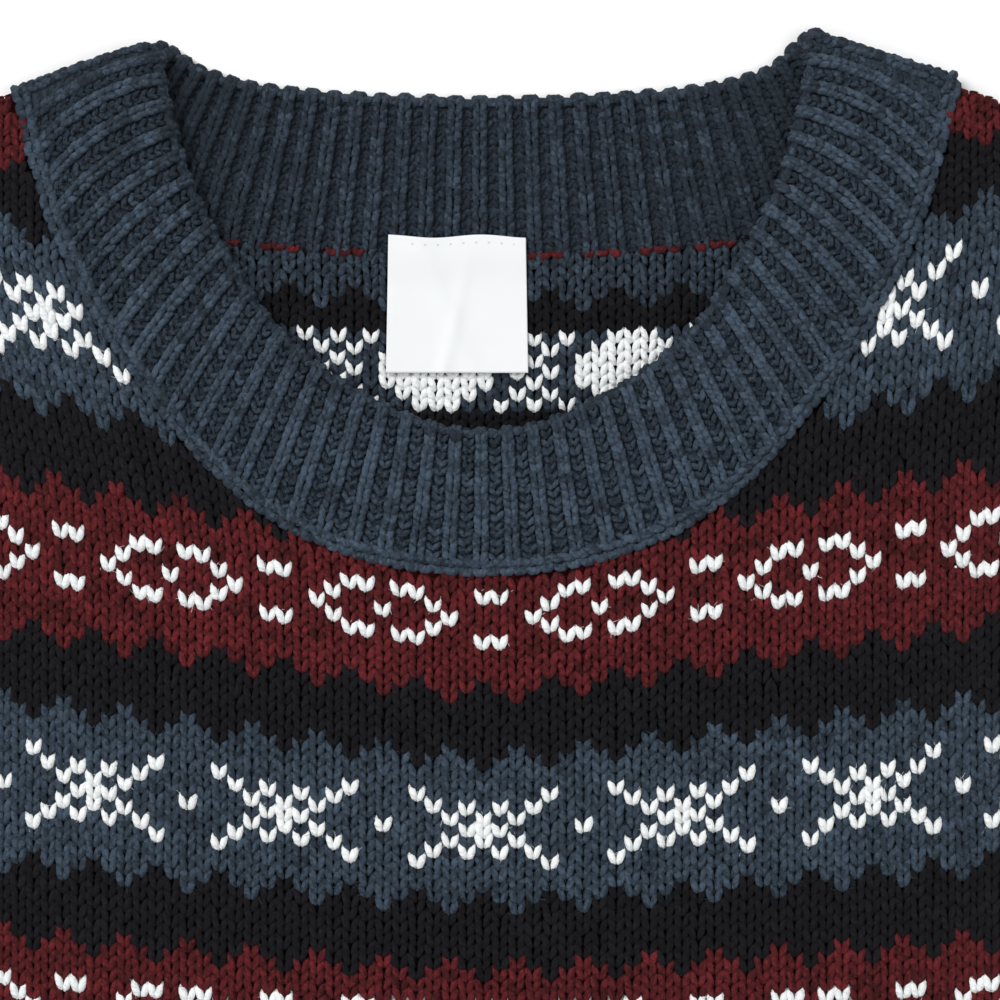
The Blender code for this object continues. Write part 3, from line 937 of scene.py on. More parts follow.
class BandFrontCloth(Cloth):
    """The front half of the neckband: u along its seam from the middle, v from the free edge."""

    ROLL = 1.5
    BEND = 5.0  # how far the ribs near the shoulders arch
    FOLD_NEAR = 0.1  # part of the half width over which the folds' own shape fades in
    FOLD_BULGE = (0.0, 4.2)  # how far the left and right folds bow outwards
    FOLD_RISES = (-1.5, 2.0)  # how far their free ends lie higher
    FOLD_INWARD = (1.75, 3.3)  # how far their free ends lie closer to the middle
    BULGE_STARTS = 0.18  # part of the way from the seam in which the bow rises
    OUTERMOST = (FOLD_STARTS + FOLD_ENDS) / 2
    SAMPLES = np.linspace(0.0, OUTERMOST, 400)
    CORNER = 7.0  # radius of the free edge's corners at the shoulders
    FOLD_SINKS = 1.35  # how much closer the yarn lies at the folds
    SINK_STARTS = 0.88  # part of the half width from which the yarn sinks
    SINK_RUN = 0.1

    def __init__(self) -> None:
        """Measure the two edges out to the folds' outermost lines."""
        self.runs = {}
        for edge in ("seam", "free"):
            line = ring_edge(self.SAMPLES, edge)
            steps = np.linalg.norm(np.diff(line, axis=0), axis=1)
            self.runs[edge] = np.concatenate(([0.0], np.cumsum(steps)))
        self.half = float(self.runs["seam"][-1])

    def rib(self, u: np.ndarray, part: np.ndarray, edge: str) -> np.ndarray:
        """CAD rib numbers at an edge.

        Args:
            u: signed distances along the seam from the middle.
            part: the same without sign, in parts of the way to the fold's outermost line.
            edge: "seam" or "free".
        Returns:
            Rib numbers that spread the ribs evenly along the edge.
        """
        run = self.runs[edge]
        found = np.interp(part * run[-1], run, self.SAMPLES)
        past = np.maximum(part - 1.0, 0.0) * self.half / CAD_RIB_PITCH
        return np.sign(u) * (found + past)

    def rounded(self, part: np.ndarray, across: np.ndarray) -> tuple:
        """Draw in the free edge's corners at the shoulders.

        Args:
            part: parts of the way to the fold's outermost line.
            across: parts of the way from the seam to the free edge.
        Returns:
            Both, drawn in.
        """
        near_fold = np.clip(1.0 - (1.0 - part) * self.half / self.CORNER, 0.0, 1.0)
        near_edge = np.clip(1.0 - (1.0 - across) * BAND_HEIGHT / self.CORNER, 0.0, 1.0)
        longest = np.maximum(near_fold, near_edge)
        keep = 1.0 - longest / np.maximum(np.hypot(near_fold, near_edge), 1e-6)
        part = part - near_fold * keep * self.CORNER / self.half
        return part, across - near_edge * keep * self.CORNER / BAND_HEIGHT

    def middle(self, u: np.ndarray, across: np.ndarray) -> np.ndarray:
        """Points on the middle of the band's wall.

        Args:
            u: signed distances along the seam from the middle.
            across: parts of the way from the seam to the free edge.
        Returns:
            Points, with x, y and z last.
        """
        part, across = self.rounded(abs(u) / self.half, across)
        seam = ring_edge(self.rib(u, part, "seam"), "seam")
        free = ring_edge(self.rib(u, part, "free"), "free")
        near = smoothstep((part - 1.0) / self.FOLD_NEAR + 1.0)
        arch = self.BEND * part**3 * (1.0 - near) * 4.0 * across * (1.0 - across)
        found = seam + (free - seam) * across[..., None]
        found[..., 0] += np.sign(u) * arch * FOLD_OUTWARD[0]
        found[..., 1] += arch * FOLD_OUTWARD[1]
        return found + self.fold_shape(np.sign(u), across) * near[..., None]

    @classmethod
    def fold_shape(cls, side: np.ndarray, across: np.ndarray) -> np.ndarray:
        """How far the two folds lie from the even shape of the band.

        Args:
            side: -1 on the left and 1 on the right.
            across: parts of the way from the seam to the free edge.
        Returns:
            Moves with x, y and z last.
        """
        inside = np.clip(across, 0.0, 1.0)
        onset = np.sqrt(1.0 - (1.0 - np.minimum(inside / cls.BULGE_STARTS, 1.0)) ** 2)
        bow = np.where(side > 0, cls.FOLD_BULGE[1], cls.FOLD_BULGE[0])
        bow = bow * onset * (1.0 - inside) ** 1.2
        rise = np.where(side > 0, cls.FOLD_RISES[1], cls.FOLD_RISES[0])
        inward = np.where(side > 0, cls.FOLD_INWARD[1], cls.FOLD_INWARD[0])
        x = side * (bow * FOLD_OUTWARD[0] - inward * inside**2)
        y = bow * FOLD_OUTWARD[1] + rise * inside**2
        return np.stack((x, y, np.zeros_like(y)), axis=-1)

    def pitch(self, v: np.ndarray) -> np.ndarray:
        """Width at a distance from the free edge, in parts of the width at the seam."""
        free = self.runs["free"][-1] / self.half
        return 1.0 + (free - 1.0) * (1.0 - v / BAND_HEIGHT)

    def point(self, u: np.ndarray, v: np.ndarray) -> np.ndarray:
        """Points on the band's outer face, which rolls over at its free edge.

        Args:
            u: signed distances along the seam from the middle.
            v: distances from the free edge.
        Returns:
            Points, with x, y and z last.
        """
        level, drop = roll_over(v, self.ROLL)
        across = 1.0 - level / BAND_HEIGHT
        found = self.middle(u, across)
        ahead = self.middle(u + 0.2, across) - self.middle(u - 0.2, across)
        up = self.middle(u, across + 0.01) - self.middle(u, across - 0.01)
        outward = np.cross(ahead, up)
        outward /= np.linalg.norm(outward, axis=-1, keepdims=True) + 1e-12
        sink = self.FOLD_SINKS * smoothstep((abs(u) / self.half - self.SINK_STARTS) / self.SINK_RUN)
        return found + outward * (BAND_WALL / 2 - drop - sink)[..., None]


class BandBackCloth(Cloth):
    """The inside of the back half of the neckband: u is the distance along its seam."""

    TAPER = (0.897, 0.197)
    HALF = 101.8
    ROLL = 1.2
    LOBES = 0.25  # how far each column stands above the free edge's middle line
    LOBES_FADE = 3.5

    def point(self, u: np.ndarray, v: np.ndarray) -> np.ndarray:
        """Points on the band's inner face.

        Args:
            u: signed distances along the seam from the middle.
            v: distances from the free edge.
        Returns:
            Points, with x, y and z last.
        """
        part = np.clip(abs(u) / self.HALF, 0.0, 1.0)
        free_x = abs(u) * (self.TAPER[0] - self.TAPER[1] * part**2)
        ribs = np.linspace(FOLD_ENDS, RIBS_ROUND / 2, 60)
        seam_line = band_line(BAND_BACK, "seam", ribs)[::-1]
        free_line = band_line(BAND_BACK, "free", ribs)[::-1]
        seam_y = np.interp(abs(u), seam_line[:, 0], seam_line[:, 1])
        free_y = np.interp(free_x, free_line[:, 0], free_line[:, 1])
        level, drop = roll_over(v, self.ROLL)
        across = 1.0 - level / BAND_HEIGHT
        x = np.sign(u) * (abs(u) + (free_x - abs(u)) * across)
        y = seam_y + (free_y - seam_y) * across
        y = y + back_rise(np.sign(u) * free_x, across)
        turn = (u / Neckband.back_pitch - Neckband.back_start) * math.tau
        y = y + self.LOBES * np.cos(turn) * np.exp(-np.maximum(v, 0.0) / self.LOBES_FADE)
        return np.stack((x, y, BAND_BACK[0].seam_z + BAND_WALL / 2 - drop), axis=-1)


@dataclass(frozen=True)
class SleeveCloth(Cloth):
    """The upper or under face of a sleeve: u from its middle line, v down from the armhole."""

    side: int
    over: bool = True

    INSIDE_EDGE: ClassVar[float] = 0.9999  # keeps the outermost points on their own side

    @property
    def length(self) -> float:
        """Length of the sleeve's middle line."""
        return float(self.table()[0][-1])

    def table(self) -> tuple:
        """Distance, middle, lean and half width along the sleeve.

        Returns:
            Distances down the middle line, parts of the way down it, and rows of the table.
        """
        along = np.linspace(0.0, 1.0, 120)
        rows = smooth_table(SLEEVE, "along", ("middle_x", "middle_y", "lean", "half_width"), along)
        run = np.hypot(*np.diff(rows[:, :2], axis=0).T)
        return np.concatenate(([0.0], np.cumsum(run))), along, rows

    def half_width(self, v: np.ndarray) -> np.ndarray:
        """Half the folded width at distances down the sleeve."""
        distance, _, rows = self.table()
        return np.interp(v, distance, rows[:, 3])

    def bounded(self, u: np.ndarray, v: np.ndarray) -> tuple:
        """Places drawn in to the folded edges and ends, and whether each lay within the edges.

        Args:
            u: millimetres across the knitting.
            v: millimetres down it.
        Returns:
            The same two, drawn in, and a mask.
        """
        v = np.clip(v, 0.0, self.length)
        width = self.half_width(v)
        return np.clip(u, -width, width) * self.INSIDE_EDGE, v, abs(u) < width

    def point(self, u: np.ndarray, v: np.ndarray) -> np.ndarray:
        """Points on the sleeve.

        Args:
            u: millimetres across the knitting.
            v: millimetres down it.
        Returns:
            Points, with x, y and z last.
        """
        distance, alongs, rows = self.table()
        past = v - np.clip(v, 0.0, distance[-1])
        x, y, lean, half = (np.interp(v, distance, rows[:, k]) for k in range(4))
        along = np.interp(v, distance, alongs)
        angle = np.radians(lean)
        u = u * self.side
        x = x + np.cos(angle) * (SEAM_GAP + past) + np.sin(angle) * u
        y = y - np.sin(angle) * (SEAM_GAP + past) + np.cos(angle) * u
        part = 0.5 - u / (2 * half)
        corners = np.array(ARMHOLE)
        chord = corners[-1] - corners[0]
        parts = (corners - corners[0]) @ chord / (chord @ chord)
        offsets = corners - corners[0] - chord * parts[:, None]
        curved = 1.0 - smoothstep(along / ARMHOLE_FADES)
        x = x + np.interp(part, parts, offsets[:, 0]) * curved
        y = y + np.interp(part, parts, offsets[:, 1]) * curved
        edge = np.clip(np.minimum(part, 1.0 - part) / SLEEVE_ROLL, 0.0, 1.0)
        rise = np.sqrt(1.0 - (1.0 - edge) ** 2)
        x = x * self.side
        lift = fold_height(x, y) * rise
        if not self.over:
            return np.stack((x, y, SLEEVE_THICK / 2 * (1 - rise)), axis=-1)
        return np.stack((x, y, SLEEVE_THICK / 2 * (1 + rise) + lift), axis=-1)


# Knitting


def tones(count: int, random: np.random.Generator) -> np.ndarray:
    """A tone for each stitch, mostly the middle one."""
    return random.choice((1, 2, 3), size=count, p=TONE_SHARES)


def rim_numbers(quads: np.ndarray) -> np.ndarray:
    """Numbers of the points on the rim of an open sheet's faces.

    Args:
        quads: faces, as point numbers.
    Returns:
        Point numbers in order.
    """
    edges = np.concatenate([quads[:, [i, (i + 1) % 4]] for i in range(4)])
    found, counts = np.unique(np.sort(edges, axis=1), axis=0, return_counts=True)
    return np.unique(found[counts == 1])


def fit_rim(points: np.ndarray, quads: np.ndarray, outline: Outline) -> None:
    """Move the rim of an open sheet sideways onto an outline.

    Args:
        points: points, which are changed.
        quads: faces.
        outline: where the rim goes.
    """
    rim = rim_numbers(quads)
    _, x, y = outline.nearest(points[rim, 0], points[rim, 1])
    points[rim, 0], points[rim, 1] = x, y


@dataclass
class SheetKnit:
    """A knitted sheet made of half stitches, each a slanted face in its yarn's colour."""

    cloth: Cloth
    chart: Chart
    wales: range
    courses: range
    first: float = FIRST_COURSE
    groove: float = 0.35
    seed: int = SEED

    least_width: float = 0.05  # millimetres across, below which a face is dropped

    def patch(self, keep: Callable | None = None, bedded: Callable | None = None) -> Patch:
        """Make the faces.

        Args:
            keep: function of face-centre points to a mask of the faces to keep.
            bedded: function of points to how far the sheet lies lower there, 0 to 1; where it is over
                half, faces take the painted shade tones.
        Returns:
            The faces.
        """
        random = np.random.default_rng(self.seed)
        halves = np.arange(2 * self.wales.start, 2 * self.wales.stop + 1)
        levels = np.arange(self.courses.start, self.courses.stop + 1)
        half, level = np.meshgrid(halves, levels)
        odd = half % 2 == 1
        u = (half / 2 - 0.5) * WALE
        v = self.first + (level - 0.5 + np.where(odd, 0.5, -0.5) * CHEVRON_DROP) * COURSE
        u, v, within = self.cloth.bounded(u, v)
        relief = np.where(odd | ~within, 0.0, -self.groove)
        if bedded is not None:
            relief = relief - STRAND_BED * bedded(self.cloth.point(u, v))
        points, _ = self.cloth.lifted(u, v, relief)
        points[..., 2] = np.maximum(points[..., 2], 0.0)
        quads = grid_quads(*half.shape)
        flat = points.reshape(-1, 3)
        centres = flat[quads].mean(axis=1)
        wale = np.floor_divide(half[:-1, :-1], 2).reshape(-1)
        course = level[:-1, :-1].reshape(-1)
        yarn = self.chart.yarn(wale, course)
        stitch = (wale - wale.min()) * 4096 + (course - course.min())
        tone = tones(int(stitch.max()) + 1, random)[stitch]
        slots = yarn * TONES + tone
        # Under the strands the sheet takes the painted shade tones, which show in the gaps
        if bedded is not None:
            slots = np.where(bedded(centres) > 0.5, PAINTED_SHADE_SLOTS + yarn, slots)
        uv = np.stack((half / 2, level), axis=-1).reshape(-1, 2).astype(float)
        chosen = np.ptp(u.reshape(-1)[quads], axis=1) > self.least_width
        if keep is not None:
            chosen &= keep(centres)
        return Patch(flat, quads[chosen], slots[chosen], uv[quads[chosen]])


@dataclass(frozen=True)
class Leg:
    """The path of one strand within a stitch, in millimetres across, up and out."""

    across: tuple
    up: tuple
    out: tuple
    radius: tuple

    def mirrored(self) -> "Leg":
        """The other leg."""
        return Leg(tuple(-a for a in self.across), self.up, self.out, self.radius)

    def scaled(self, across: float, up: float, thick: float) -> "Leg":
        """The leg at another size.

        Args:
            across: factor across.
            up: factor up.
            thick: factor of the radius.
        Returns:
            A new leg.
        """
        return Leg(
            tuple(a * across for a in self.across),
            tuple(u * up for u in self.up),
            self.out,
            tuple(r * thick for r in self.radius),
        )


STOCKING_LEG = Leg(
    across=(-1.5, -1.34, -1.1, -0.84, -0.6, -0.38),
    up=(1.75, 1.15, 0.45, -0.3, -0.98, -1.55),
    out=(-0.5, 0.06, 0.38, 0.45, 0.28, -0.15),
    radius=(0.42, 0.7, 0.83, 0.83, 0.74, 0.46),
)
RIB_LEG = Leg(
    across=(-1.32, -1.18, -1.0, -0.82, -0.66, -0.5),
    up=(1.35, 0.88, 0.32, -0.28, -0.82, -1.3),
    out=(-0.35, 0.06, 0.3, 0.34, 0.2, -0.2),
    radius=(0.45, 0.68, 0.8, 0.8, 0.72, 0.5),
)
PURL_LEG = Leg(
    across=(-2.05, -1.62, -1.2, -0.8, -0.42, -0.05),
    up=(0.85, 0.66, 0.36, 0.02, -0.26, -0.42),
    out=(-0.5, -0.02, 0.2, 0.24, 0.16, -0.05),
    radius=(0.42, 0.56, 0.64, 0.64, 0.58, 0.5),
)
PURL_BUMP = Leg(
    across=(-1.95, -1.35, -0.5, 0.5, 1.35, 1.95),
    up=(-0.5, 0.05, 0.36, 0.36, 0.05, -0.5),
    out=(-0.4, 0.1, 0.3, 0.3, 0.1, -0.4),
    radius=(0.5, 0.72, 0.84, 0.84, 0.72, 0.5),
)
LINK = Leg(
    across=(-1.9, -1.25, -0.42, 0.42, 1.25, 1.9),
    up=(0.7, 0.34, 0.12, -0.14, -0.38, -0.7),
    out=(-0.35, 0.1, 0.35, 0.35, 0.1, -0.35),
    radius=(0.5, 0.76, 0.85, 0.85, 0.76, 0.5),
)
HANGING_LOOP = Leg(
    across=(-1.75, -1.3, -0.5, 0.5, 1.3, 1.75),
    up=(0.75, 0.1, -0.4, -0.4, 0.1, 0.75),
    out=(-0.3, 0.15, 0.4, 0.4, 0.15, -0.3),
    radius=(0.55, 0.78, 0.9, 0.9, 0.78, 0.55),
)
LINKING_DASH = Leg(
    across=(-1.3, -0.9, -0.3, 0.3, 0.9, 1.3),
    up=(0.6, 0.0, -0.4, -0.4, 0.0, 0.6),
    out=(-0.2, 0.3, 0.5, 0.5, 0.3, -0.2),
    radius=(0.4, 0.7, 0.85, 0.85, 0.7, 0.4),
)
PEEP = Leg(
    across=(-0.45, -0.28, -0.1, 0.1, 0.28, 0.45),
    up=(0.1, 0.06, 0.02, -0.02, -0.06, -0.1),
    out=(-0.3, -0.12, 0.0, 0.0, -0.12, -0.3),
    radius=(0.15, 0.3, 0.38, 0.38, 0.3, 0.15),
)


HAIR_LENGTH = (0.6, 1.7)
HAIR_WIDTH = 0.07
TUBE_HALF_TURN = 112.0  # degrees that a strand's tube reaches round from its top


@dataclass
class StrandKnit:
    """Strands of yarn laid over a cloth, each a half-round tube."""

    cloth: Cloth
    random: np.random.Generator
    around: int = 5
    jitter: float = 0.12
    FLECKS: ClassVar[tuple] = (0.36, 0.28, 0.36)  # shares of faces a tone darker, alike, lighter
    parts: list = field(default_factory=list)

    def lay(self, u: np.ndarray, v: np.ndarray, yarn: np.ndarray, leg: Leg, tone: np.ndarray,
            raised: float | np.ndarray = 0.0, spread: float | np.ndarray = 1.0) -> None:
        """Lay one strand for each stitch.

        Args:
            u: stitch middles across.
            v: stitch middles down.
            yarn: yarn numbers.
            leg: path of the strand.
            tone: tone numbers.
            raised: further height above the cloth.
            spread: how much wider each strand lies.
        """
        if len(u) == 0:
            return
        count = len(u)
        wobble = self.random.normal(0.0, self.jitter, (4, count, 1))
        spread = np.broadcast_to(np.asarray(spread, float), (count,))[:, None]
        across = u[:, None] + np.array(leg.across) * spread + wobble[0]
        down = v[:, None] - np.array(leg.up) + wobble[1]
        raised = np.broadcast_to(np.asarray(raised, float), (count,))[:, None]
        out = np.array(leg.out) + raised + wobble[2] * 0.6
        radius = np.array(leg.radius) * (1.0 + wobble[3] * 0.5)
        spine, normal = self.cloth.lifted(across, down, out)
        tangent = np.gradient(spine, axis=1)
        tangent /= np.linalg.norm(tangent, axis=-1, keepdims=True)
        side = np.cross(tangent, normal)
        side /= np.linalg.norm(side, axis=-1, keepdims=True)
        up = np.cross(side, tangent)
        angle = np.radians(np.linspace(-TUBE_HALF_TURN, TUBE_HALF_TURN, self.around))
        ring = (
            side[:, :, None, :] * np.sin(angle)[None, None, :, None]
            + up[:, :, None, :] * np.cos(angle)[None, None, :, None]
        )
        points = spine[:, :, None, :] + ring * radius[:, :, None, None]
        points = self.cloth.trimmed(points)
        steps = spine.shape[1]
        tube = grid_quads(steps, self.around)[:, FACING_DOWN]
        starts = np.arange(count) * steps * self.around
        quads = (tube + starts[:, None, None]).reshape(-1, 4)
        length = np.concatenate(
            (np.zeros((count, 1)), np.cumsum(np.linalg.norm(np.diff(spine, axis=1), axis=-1), 1)),
            axis=1,
        )
        uv = np.empty((count, steps, self.around, 2))
        uv[..., 0] = length[:, :, None] + self.random.random((count, 1, 1))
        uv[..., 1] = np.linspace(0.0, 1.0, self.around)
        faces = (steps - 1) * (self.around - 1)
        fleck = self.random.choice((-1, 0, 1), size=count * faces, p=self.FLECKS)
        tone = np.clip(np.repeat(tone, faces) + fleck, 0, TONES - 1)
        slots = np.repeat(yarn * TONES, faces) + tone
        self.parts.append(Patch(points.reshape(-1, 3), quads, slots, uv.reshape(-1, 2)[quads]))

    def stitches(self, u: np.ndarray, v: np.ndarray, yarn: np.ndarray, leg: Leg,
                 raised: float | np.ndarray = 0.0, spread: float | np.ndarray = 1.0,
                 dimmer: int | np.ndarray = 0) -> None:
        """Lay both legs of each stitch in one tone.

        Args:
            u: stitch middles across.
            v: stitch middles down.
            yarn: yarn numbers.
            leg: path of the left leg.
            raised: further height above the cloth.
            spread: how much wider each stitch lies.
            dimmer: how many tones darker than its own each stitch is, as painted shade; fewer than
                none make it lighter, as painted light.
        """
        tone = tones(len(u), self.random) - dimmer
        self.lay(u, v, yarn, leg, tone, raised, spread)
        self.lay(u, v, yarn, leg.mirrored(), tone, raised, spread)

    def mesh(self, name: str, palette: Palette) -> bpy.types.Object:
        """Join what was laid into one piece."""
        return Patch.joined(self.parts).mesh(name, palette.materials)

    def hairs(self, u: np.ndarray, v: np.ndarray, yarn: np.ndarray, each: int) -> None:
        """Loose fibres that stand off the yarn, each a thin blade.

        Args:
            u: stitch middles across.
            v: stitch middles down.
            yarn: yarn numbers.
            each: fibres a stitch.
        """
        count = len(u) * each
        place_u = np.repeat(u, each) + self.random.uniform(-1.6, 1.6, count)
        place_v = np.repeat(v, each) + self.random.uniform(-1.2, 1.2, count)
        way = self.random.uniform(0.0, math.tau, count)
        long = self.random.uniform(*HAIR_LENGTH, count)
        ends = []
        for sign, height in ((0.0, 0.5), (1.0, 1.25)):
            lift = height + self.random.uniform(-0.2, 0.35, count)
            point, _ = self.cloth.lifted(
                place_u + np.cos(way) * long * sign, place_v + np.sin(way) * long * sign, lift
            )
            ends.append(point)
        across = np.cross(ends[1] - ends[0], (0.0, 0.0, 1.0))
        across *= HAIR_WIDTH / 2 / (np.linalg.norm(across, axis=-1, keepdims=True) + 1e-9)
        corners = np.stack(
            (ends[0] - across, ends[0] + across, ends[1] + across * 0.5, ends[1] - across * 0.5),
            axis=1,
        )
        corners = self.cloth.trimmed(corners)
        quads = np.arange(count * 4).reshape(count, 4)
        tone = np.clip(tones(count, self.random) + 1, 0, TONES - 1)
        uv = np.zeros((count, 4, 2))
        self.parts.append(Patch(corners.reshape(-1, 3), quads, np.repeat(yarn, each) * TONES + tone,
                                uv))


def close_below(piece: bpy.types.Object, level: float) -> None:
    """Turn the sheet's edge down to a level and close it underneath.

    Args:
        piece: an open sheet.
        level: height of the underside in millimetres.
    """
    shaping = bmesh.new()
    shaping.from_mesh(piece.data)
    order = {face: number for number, face in enumerate(shaping.faces)}

    def place(face: bmesh.types.BMFace) -> int:
        """Where a face goes: the sheet's own ones first, then the new ones by their points."""
        first, second = sorted(vert.index for vert in face.verts)[:2]
        return order.get(face, len(order) + first * len(shaping.verts) + second)

    rim = [e for e in shaping.edges if e.is_boundary]
    slots = {e: e.link_faces[0].material_index for e in rim}
    made = bmesh.ops.extrude_edge_only(shaping, edges=rim)["geom"]
    for item in made:
        if isinstance(item, bmesh.types.BMVert):
            item.co.z = level * MM
        if isinstance(item, bmesh.types.BMFace):
            old = [e for e in item.edges if e in slots]
            item.material_index = slots[old[0]] if old else 0
    open_rim = [e for e in shaping.edges if e.is_boundary]
    bmesh.ops.holes_fill(shaping, edges=open_rim, sides=0)
    bmesh.ops.recalc_face_normals(shaping, faces=shaping.faces)
    shaping.verts.index_update()
    shaping.faces.sort(key=place)
    shaping.to_mesh(piece.data)
    shaping.free()
    piece.data.set_sharp_from_angle(angle=math.radians(60.0))


def dress(piece: bpy.types.Object, slot: str, *nodes: str) -> bpy.types.Object:
    """Let a piece ride the body, and stand for CAD nodes, which are hidden.

    Args:
        piece: the piece.
        slot: not used.
        nodes: the CAD nodes that it stands for.
    Returns:
        The piece.
    """
    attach(piece, "root")
    if nodes:
        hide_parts(*nodes)
    return piece


# Pieces


@dataclass
class Front:
    """The front: a patterned sheet, with strands of yarn where the camera is near."""

    cloth_finish: Palette
    strand_finish: Palette

    over_rim: float = 3.0  # how far past the shoulder line a stitch's middle may lie
    hairs: int = 8
    white_hairs: int = 3
    peeps: float = 0.45  # share of white stitches whose float peeps out beside them
    peep_moved: tuple = (2.0, 1.5)  # across and down from the stitch
    white_thicker: float = 1.06
    white_raised: float = 0.12
    split_course: int = 12  # first course of the second piece of yarn

    def in_view(self, points: np.ndarray) -> np.ndarray:
        """Whether points lie in the camera's part of the front."""
        x, y = points[..., 0], points[..., 1]
        return ((x > VIEW_X[0]) & (x < VIEW_X[1]) & (y > VIEW_BOTTOM)).astype(float)

    def sheet(self) -> bpy.types.Object:
        """The patterned sheet.

        Returns:
            The piece, closed underneath.
        """
        knit = SheetKnit(FrontCloth(), BODY_CHART, range(-75, 76), range(-46, 205))

        def keep(centres: np.ndarray) -> np.ndarray:
            """Whether faces lie within the front's outline."""
            return FRONT_OUTLINE.inside(centres[:, 0], centres[:, 1])

        # In view the sheet lies under strands and takes the painted shade tones
        patch = knit.patch(keep, self.in_view)
        fit_rim(patch.points, patch.quads, FRONT_OUTLINE)
        piece = patch.mesh("front_knit", self.cloth_finish.materials)
        close_below(piece, FRONT_UNDERSIDE)
        return piece

    def strands(self) -> list:
        """The yarn of the stitches in view, in two pieces.

        Returns:
            The pieces above and below the middle of the view.
        """
        cloth = FrontCloth()
        wale, course = np.meshgrid(np.arange(-35, 36), np.arange(-46, 42))
        wale, course = wale.reshape(-1), course.reshape(-1)
        u = wale * WALE
        v = FIRST_COURSE + course * COURSE
        x, y = cloth.place(u, v)
        from_neck, _, _ = Outline(FRONT_NECK).nearest(x, y, closed=False)
        seen = self.in_view(np.stack((x, y), axis=-1)) > 0
        inside = FRONT_OUTLINE.inside(x, y) & (from_neck > 0.3)
        seen &= inside | ((abs(x) > SHOULDER_NECK_END.x) & (from_rim(x, y) < self.over_rim))
        yarn = BODY_CHART.yarn(wale, course)
        pieces = []
        for number, half in enumerate((course < self.split_course, course >= self.split_course)):
            chosen = seen & half
            knit = StrandKnit(cloth, np.random.default_rng(SEED + number))
            white = chosen & (yarn == Yarn.WHITE)
            other = chosen & (yarn != Yarn.WHITE)
            knit.stitches(u[other], v[other], yarn[other], STOCKING_LEG)
            knit.stitches(u[white], v[white], yarn[white],
                          STOCKING_LEG.scaled(1.0, 1.0, self.white_thicker), self.white_raised)
            peeping = white & (knit.random.random(len(white)) < self.peeps)
            side = knit.random.choice((-1.0, 1.0), size=int(peeping.sum()))
            knit.lay(u[peeping] + side * self.peep_moved[0], v[peeping] + self.peep_moved[1],
                     yarn[peeping], PEEP, np.zeros(int(peeping.sum()), int), 0.1)
            knit.hairs(u[other], v[other], yarn[other], self.hairs)
            knit.hairs(u[white], v[white], yarn[white], self.white_hairs)
            pieces.append(knit.mesh(f"front_yarn_{number}", self.strand_finish))
        return pieces

    def build(self) -> bpy.types.Object:
        """Make the front's pieces.

        Returns:
            The sheet.
        """
        sheet = dress(self.sheet(), "front_panel", "front_panel")
        strands = [dress(piece, "front_panel") for piece in self.strands()]
        return sheet


@dataclass
class Back:
    """The back: a plain sheet on the floor, with patterned yarn where it shows in the neck."""

    cloth_finish: Palette
    strand_finish: Palette

    step: float = 6.0
    top: float = 2.0
    edge_sinks: float = 0.5
    edge_width: float = 5.0
    first_row: float = 37.2
    strands_sunk: float = 0.35
    neck_bottom: float = -95.0  # above this the sheet shows in the hollows of the yarn, and is painted black as shade

    def sheet(self) -> bpy.types.Object:
        """The sheet, in the painted shade tones, black as painted shade inside the neck, and closed to
        the floor.

        Returns:
            The piece.
        """
        xs = np.arange(-43, 44) * self.step
        ys = self.top - np.arange(0, 102) * self.step
        x, y = np.meshgrid(xs, ys)
        edge = 1.0 - smoothstep(from_rim(x, y) / self.edge_width)
        z = BACK_WALL - STRAND_BED * np.ones_like(x) - self.edge_sinks * edge
        points = np.stack((x, y, z), axis=-1).reshape(-1, 3)
        quads = grid_quads(*x.shape)
        centres = points[quads].mean(axis=1)
        quads = quads[BACK_OUTLINE.inside(centres[:, 0], centres[:, 1])]
        fit_rim(points, quads, BACK_OUTLINE)
        course = np.floor((-points[quads].mean(axis=1)[:, 1] - FIRST_COURSE) / COURSE)
        yarn = BODY_CHART.yarn(np.ones(len(quads), int), course.astype(int))
        # Inside the neck the sheet shows only between strands, so it is painted black as shade there
        yarn = np.where(points[quads].mean(axis=1)[:, 1] > self.neck_bottom, Yarn.BLACK, yarn)
        slots = np.where(yarn == Yarn.WHITE, Yarn.SLATE, yarn) + PAINTED_SHADE_SLOTS
        uv = points[:, :2] / (WALE, -COURSE)
        piece = Patch(points, quads, slots, uv[quads]).mesh("back_knit",
                                                            self.cloth_finish.materials)
        close_below(piece, 0.0)
        return piece

    def strands(self) -> bpy.types.Object:
        """The yarn that shows in the neck.

        Returns:
            The piece.
        """
        cloth = BackInsideCloth()
        wale, course = np.meshgrid(np.arange(-21, 22), np.arange(0, 19))
        wale, course = wale.reshape(-1), course.reshape(-1)
        u = wale * WALE
        v = self.first_row + course * COURSE
        knit = StrandKnit(cloth, np.random.default_rng(SEED + 3))
        yarn = LATTICE_CHART.yarn(wale, course)
        # Each stitch one tone darker, painted shade inside the neck
        knit.stitches(u, v, yarn, STOCKING_LEG, -self.strands_sunk, 1.0, 1)
        return knit.mesh("back_yarn", self.strand_finish)

    def build(self) -> bpy.types.Object:
        """Make the back's pieces.

        Returns:
            The sheet.
        """
        sheet = dress(self.sheet(), "back_panel", "back_panel")
        strands = dress(self.strands(), "back_panel")
        return sheet


